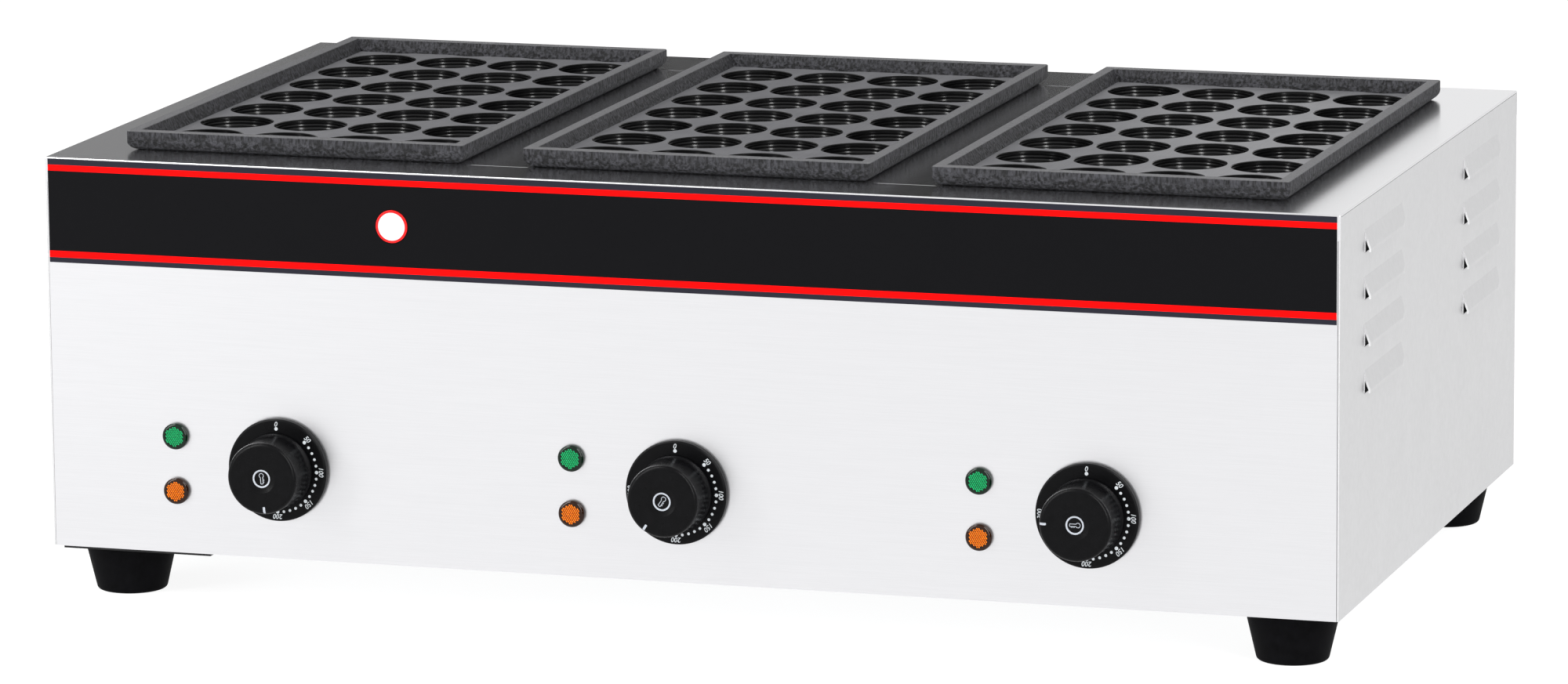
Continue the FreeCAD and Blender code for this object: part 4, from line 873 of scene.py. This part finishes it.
class COOKER_OT_lamps(bpy.types.Operator):
    """Models the pilot lamps' prismatic lenses"""

    bl_idname = "cooker.lamps"
    bl_label = "Pilot lamps"

    def execute(self, context):
        shell = lens_shell()
        prisms = lens_prisms(context.scene.cooker_sizes.prism_pitch)
        for name in ("green", "amber"):
            colour = getattr(context.scene.cooker_colours, name)
            # Two copies of one tinted plastic: the prisms in its full colour, and the shoulder at a small
            # part of it as painted shade, as only the window is lit.
            shaded_tint = polycarbonate_tinted(name + "_shoulder_painted_shade", [c * SHOULDER_SHADE for c in colour])
            bright = polycarbonate_tinted(name + "_prisms", colour)
            for zone in ZONES:
                node = f"{name}_lens_{zone}"
                at_panel = front_of(node) @ Matrix.Translation((0, 0, -PANEL_TO_LENS_TIP))
                window = copy_of(prisms, "window", at_panel)
                paint(window, bright)
                holder = copy_of(shell, "holder", at_panel)
                paint(holder, shaded_tint)
                lens = join(f"pilot_lens_{name}_{zone}", [holder, window])
                belong(lens, CABINET, f"{name}_lens", node)
        discard(shell, prisms)
        # Polyamide, moulded black: satin, with flow marks 3 mm across.
        wear(moulded_part("polyamide_moulded_black", "#0F0F10", "#18181A", 0.5, 3 * MM),
             *in_each_zone("lamp_bodies_{}"))
        return {"FINISHED"}


# ---- feet and inner parts ----
class COOKER_OT_feet(bpy.types.Operator):
    """Finishes the rubber feet and the plates above them"""

    bl_idname = "cooker.feet"
    bl_label = "Feet"

    def execute(self, context):
        feet = [f"rubber_foot_{end}_{side}" for end in ("front", "back") for side in ("left", "right")]
        wear(rubber_moulded(), *feet)
        # Steel plate, powder-coated black: a satin skin with the coat's orange peel, 2 mm across.
        wear(moulded_part("steel_powder_coated_black", "#0C0C0D", "#131315", 0.45, 2 * MM), "corner_plates")
        return {"FINISHED"}


class COOKER_OT_heating(bpy.types.Operator):
    """Finishes the tube heaters, sensor bulbs and thermostats under the plates"""

    bl_idname = "cooker.heating"
    bl_label = "Heating"

    def execute(self, context):
        # Nickel-alloy heater sheath: heat turns it brown and blue-grey in patches.
        wear(metal_part("nickel_alloy_sheath_heated", "#3A342F", "#6A6058", 0.45, 14 * MM),
             *in_each_zone("heating_element_{}"))
        # Copper, drawn and a little oxidised by the heat.
        wear(metal_part("copper_drawn_oxidised", "#8C5238", "#C07C58", 0.35, 6 * MM),
             *in_each_zone("sensor_bulb_{}"))
        # Steatite, pressed and fired: a matt cream.
        wear(moulded_part("steatite_fired", "#CFC8B8", "#DED9CB", 0.7, 1.5 * MM),
             *in_each_zone("thermostat_body_{}"), "terminal_block")
        return {"FINISHED"}


class COOKER_OT_wiring(bpy.types.Operator):
    """Finishes the leads, the cable gland, the earth stud and the screws"""

    bl_idname = "cooker.wiring"
    bl_label = "Wiring and screws"

    def execute(self, context):
        wear(glass_sleeve(), "wiring_loom")
        # Polyamide, moulded black: satin, with flow marks 3 mm across.
        wear(moulded_part("polyamide_gland_black", "#101011", "#19191B", 0.42, 3 * MM),
             "cable_gland", "gland_locknut")
        # Brass, turned from bar.
        wear(metal_part("brass_turned", "#A88443", "#CFAE62", 0.28, 3 * MM), "earth_stud")
        # Steel, zinc plated and passivated: pale with a bluish cast.
        wear(metal_part("steel_zinc_plated", "#A9ADB4", "#C9CCD1", 0.3, 2 * MM), "panel_screws",
             "foot_screws", "thermostat_screws", "lamp_clips", *in_each_zone("thermostat_spindle_{}"))
        return {"FINISHED"}


# ---- studio ----
CAMERA_PLACE = (1.27797, -4.07299)
CAMERA_OVER_CABINET = 0.90329  # over the cabinet's lower edge
CAMERA_TURN = 17.5166  # degrees to the left of straight ahead
CAMERA_TILT = 10.8142  # degrees below the horizon
CAMERA_ROLL = -0.4706  # degrees
CAMERA_LENS = 187.51  # mm, on a 36 mm wide sensor

FLOOR_RADIUS = 14
FLOOR_GLOW = 1.2
FLOOR_GLOW_SHARE = 0.75  # of what is seen of the floor; the board makes up the rest

CARD_PLACE = (-0.7, 1.0, 0.75)
CARD_SIZE = (1.24, 0.9)
CARD_FADE = (-0.78, -0.5)  # where the card is palest and where it is darkest, along X

# Name of each lamp, its place and its width and height
KEY_LAMP = ("key_softbox", (-0.9, -1.7, 1.9), (1.6, 1.6))
STRIP_LAMPS = (("left_strip", (-1.7, -1.75, 1.6), (0.45, 3.0)),
               ("right_strip", (1.9, -1.6, 1.6), (0.45, 3.0)))
LAMP_AIM = Vector((0, 0, 0.12))


def seen_ray(tree):
    """1 for rays of the camera, reflections and transmission, which see the white background."""
    path = add(tree, "LightPath", {})
    total = add(tree, "Math", {0: path["Is Camera Ray"], 1: path["Is Glossy Ray"]}, operation="MAXIMUM")[0]
    return add(tree, "Math", {0: total, 1: path["Is Transmission Ray"]}, operation="MAXIMUM")[0]


def set_room(scene, level):
    """Even light from all round, in front of a background that is seen as white."""
    scene.world = bpy.data.worlds.new("studio_room")
    scene.world.use_nodes = True
    tree = scene.world.node_tree
    tree.nodes.clear()
    room = add(tree, "Background", {"Color": rgba("#FFFFFF"), "Strength": level})["Background"]
    white = add(tree, "Background", {"Color": rgba("#FFFFFF"), "Strength": 1.0})["Background"]
    mixed = add(tree, "MixShader", {0: seen_ray(tree), 1: room, 2: white})["Shader"]
    add(tree, "OutputWorld", {"Surface": mixed})


def lay_floor():
    # Matt painted board: pale and even, white where nothing shades it.
    deselect()
    bpy.ops.mesh.primitive_circle_add(vertices=96, radius=FLOOR_RADIUS, fill_type="NGON")
    floor = bpy.context.active_object
    floor.name = "studio_floor"
    material, tree, place = begin("floor_board_matt_white")
    tone = layered(tree, rgba("#F1F1F1"), (lumps(tree, place, 0.15), rgba("#F4F4F4")))
    board = add(tree, "BsdfDiffuse", {"Color": tone})["BSDF"]
    glow = add(tree, "Emission", {"Color": rgba("#FFFFFF"), "Strength": FLOOR_GLOW})["Emission"]
    share = add(tree, "Math", {0: seen_ray(tree), 1: FLOOR_GLOW_SHARE}, operation="MULTIPLY")[0]
    mixed = add(tree, "MixShader", {0: share, 1: board, 2: glow})["Shader"]
    add(tree, "OutputMaterial", {"Surface": mixed})
    paint(floor, material)


def hang_card():
    """A dark card behind the left of the deck, paler at its left end, which only reflections see."""
    deselect()
    bpy.ops.mesh.primitive_plane_add(size=1, location=CARD_PLACE, rotation=(math.radians(90), 0, 0))
    card = stretched((*CARD_SIZE, 1))
    card.name = "studio_card"
    material, tree, place = begin("card_grey_to_black")
    across = add(tree, "SeparateXYZ", {"Vector": place})["X"]
    fade = add(tree, "MapRange", {"Value": across, "From Min": CARD_FADE[0],
                                  "From Max": CARD_FADE[1]})["Result"]
    tone = layered(tree, rgba("#8C8C8C"), (fade, rgba("#343434")))
    add(tree, "OutputMaterial", {"Surface": add(tree, "Emission", {"Color": tone})["Emission"]})
    paint(card, material)
    card.visible_camera = card.visible_diffuse = card.visible_shadow = card.visible_transmission = False


def hang_lamp(scene, name, spot, size, power):
    """A soft rectangular lamp, turned to the cooker."""
    light = bpy.data.lights.new(name, "AREA")
    light.shape = "RECTANGLE"
    light.size, light.size_y = size
    light.energy = power
    lamp = bpy.data.objects.new(name, light)
    scene.collection.objects.link(lamp)
    lamp.visible_camera = False
    lamp.location = spot
    lamp.rotation_euler = (LAMP_AIM - Vector(spot)).to_track_quat("-Z", "Y").to_euler()


def set_camera(scene):
    camera = bpy.data.objects.new("studio_camera", bpy.data.cameras.new("studio_camera"))
    scene.collection.objects.link(camera)
    eye = (*CAMERA_PLACE, CAMERA_OVER_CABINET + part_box("front_panel")[0].z)
    camera.matrix_world = (Matrix.Translation(eye)
                           @ Matrix.Rotation(math.radians(CAMERA_TURN), 4, "Z")
                           @ Matrix.Rotation(math.radians(90 - CAMERA_TILT), 4, "X")
                           @ Matrix.Rotation(math.radians(CAMERA_ROLL), 4, "Z"))
    camera.data.lens = CAMERA_LENS
    camera.data.clip_end = 100
    scene.camera = camera


class COOKER_OT_studio(bpy.types.Operator):
    """Sets the floor, the lights and the camera"""

    bl_idname = "cooker.studio"
    bl_label = "Studio"

    def execute(self, context):
        scene = context.scene
        settings = scene.cooker_studio
        scene.view_settings.view_transform = "Standard"
        set_room(scene, settings.room)
        lay_floor()
        hang_card()
        hang_lamp(scene, *KEY_LAMP, settings.key)
        for lamp in STRIP_LAMPS:
            hang_lamp(scene, *lamp, settings.strip)
        set_camera(scene)
        return {"FINISHED"}


# ---- sidebar and run ----
class COOKER_PT_sidebar(bpy.types.Panel):
    """Lists the cooker's parts"""

    bl_idname = "COOKER_PT_sidebar"
    bl_label = "Takoyaki Maker"
    bl_space_type = "VIEW_3D"
    bl_region_type = "UI"
    bl_category = "Cooker"

    def draw(self, context):
        for step in STEPS:
            self.layout.operator(step.bl_idname)


STEPS = (COOKER_OT_studio, COOKER_OT_cabinet, COOKER_OT_label, COOKER_OT_plates, COOKER_OT_dials,
         COOKER_OT_lamps, COOKER_OT_feet, COOKER_OT_heating, COOKER_OT_wiring)
SETTINGS = {"cooker_colours": CookerColours, "cooker_sizes": CookerSizes, "cooker_studio": StudioSettings}


def register():
    for name, group in SETTINGS.items():
        bpy.utils.register_class(group)
        setattr(bpy.types.Scene, name, PointerProperty(type=group))
    for part in (*STEPS, COOKER_PT_sidebar):
        bpy.utils.register_class(part)


def unregister():
    for part in reversed((*STEPS, COOKER_PT_sidebar)):
        bpy.utils.unregister_class(part)
    for name, group in SETTINGS.items():
        delattr(bpy.types.Scene, name)
        bpy.utils.unregister_class(group)


def main():
    register()
    bpy.ops.cooker.studio()
    bpy.ops.cooker.cabinet()
    bpy.ops.cooker.label()
    bpy.ops.cooker.plates()
    bpy.ops.cooker.dials()
    bpy.ops.cooker.lamps()
    bpy.ops.cooker.feet()
    bpy.ops.cooker.heating()
    bpy.ops.cooker.wiring()


if __name__ == "__main__":
    main()
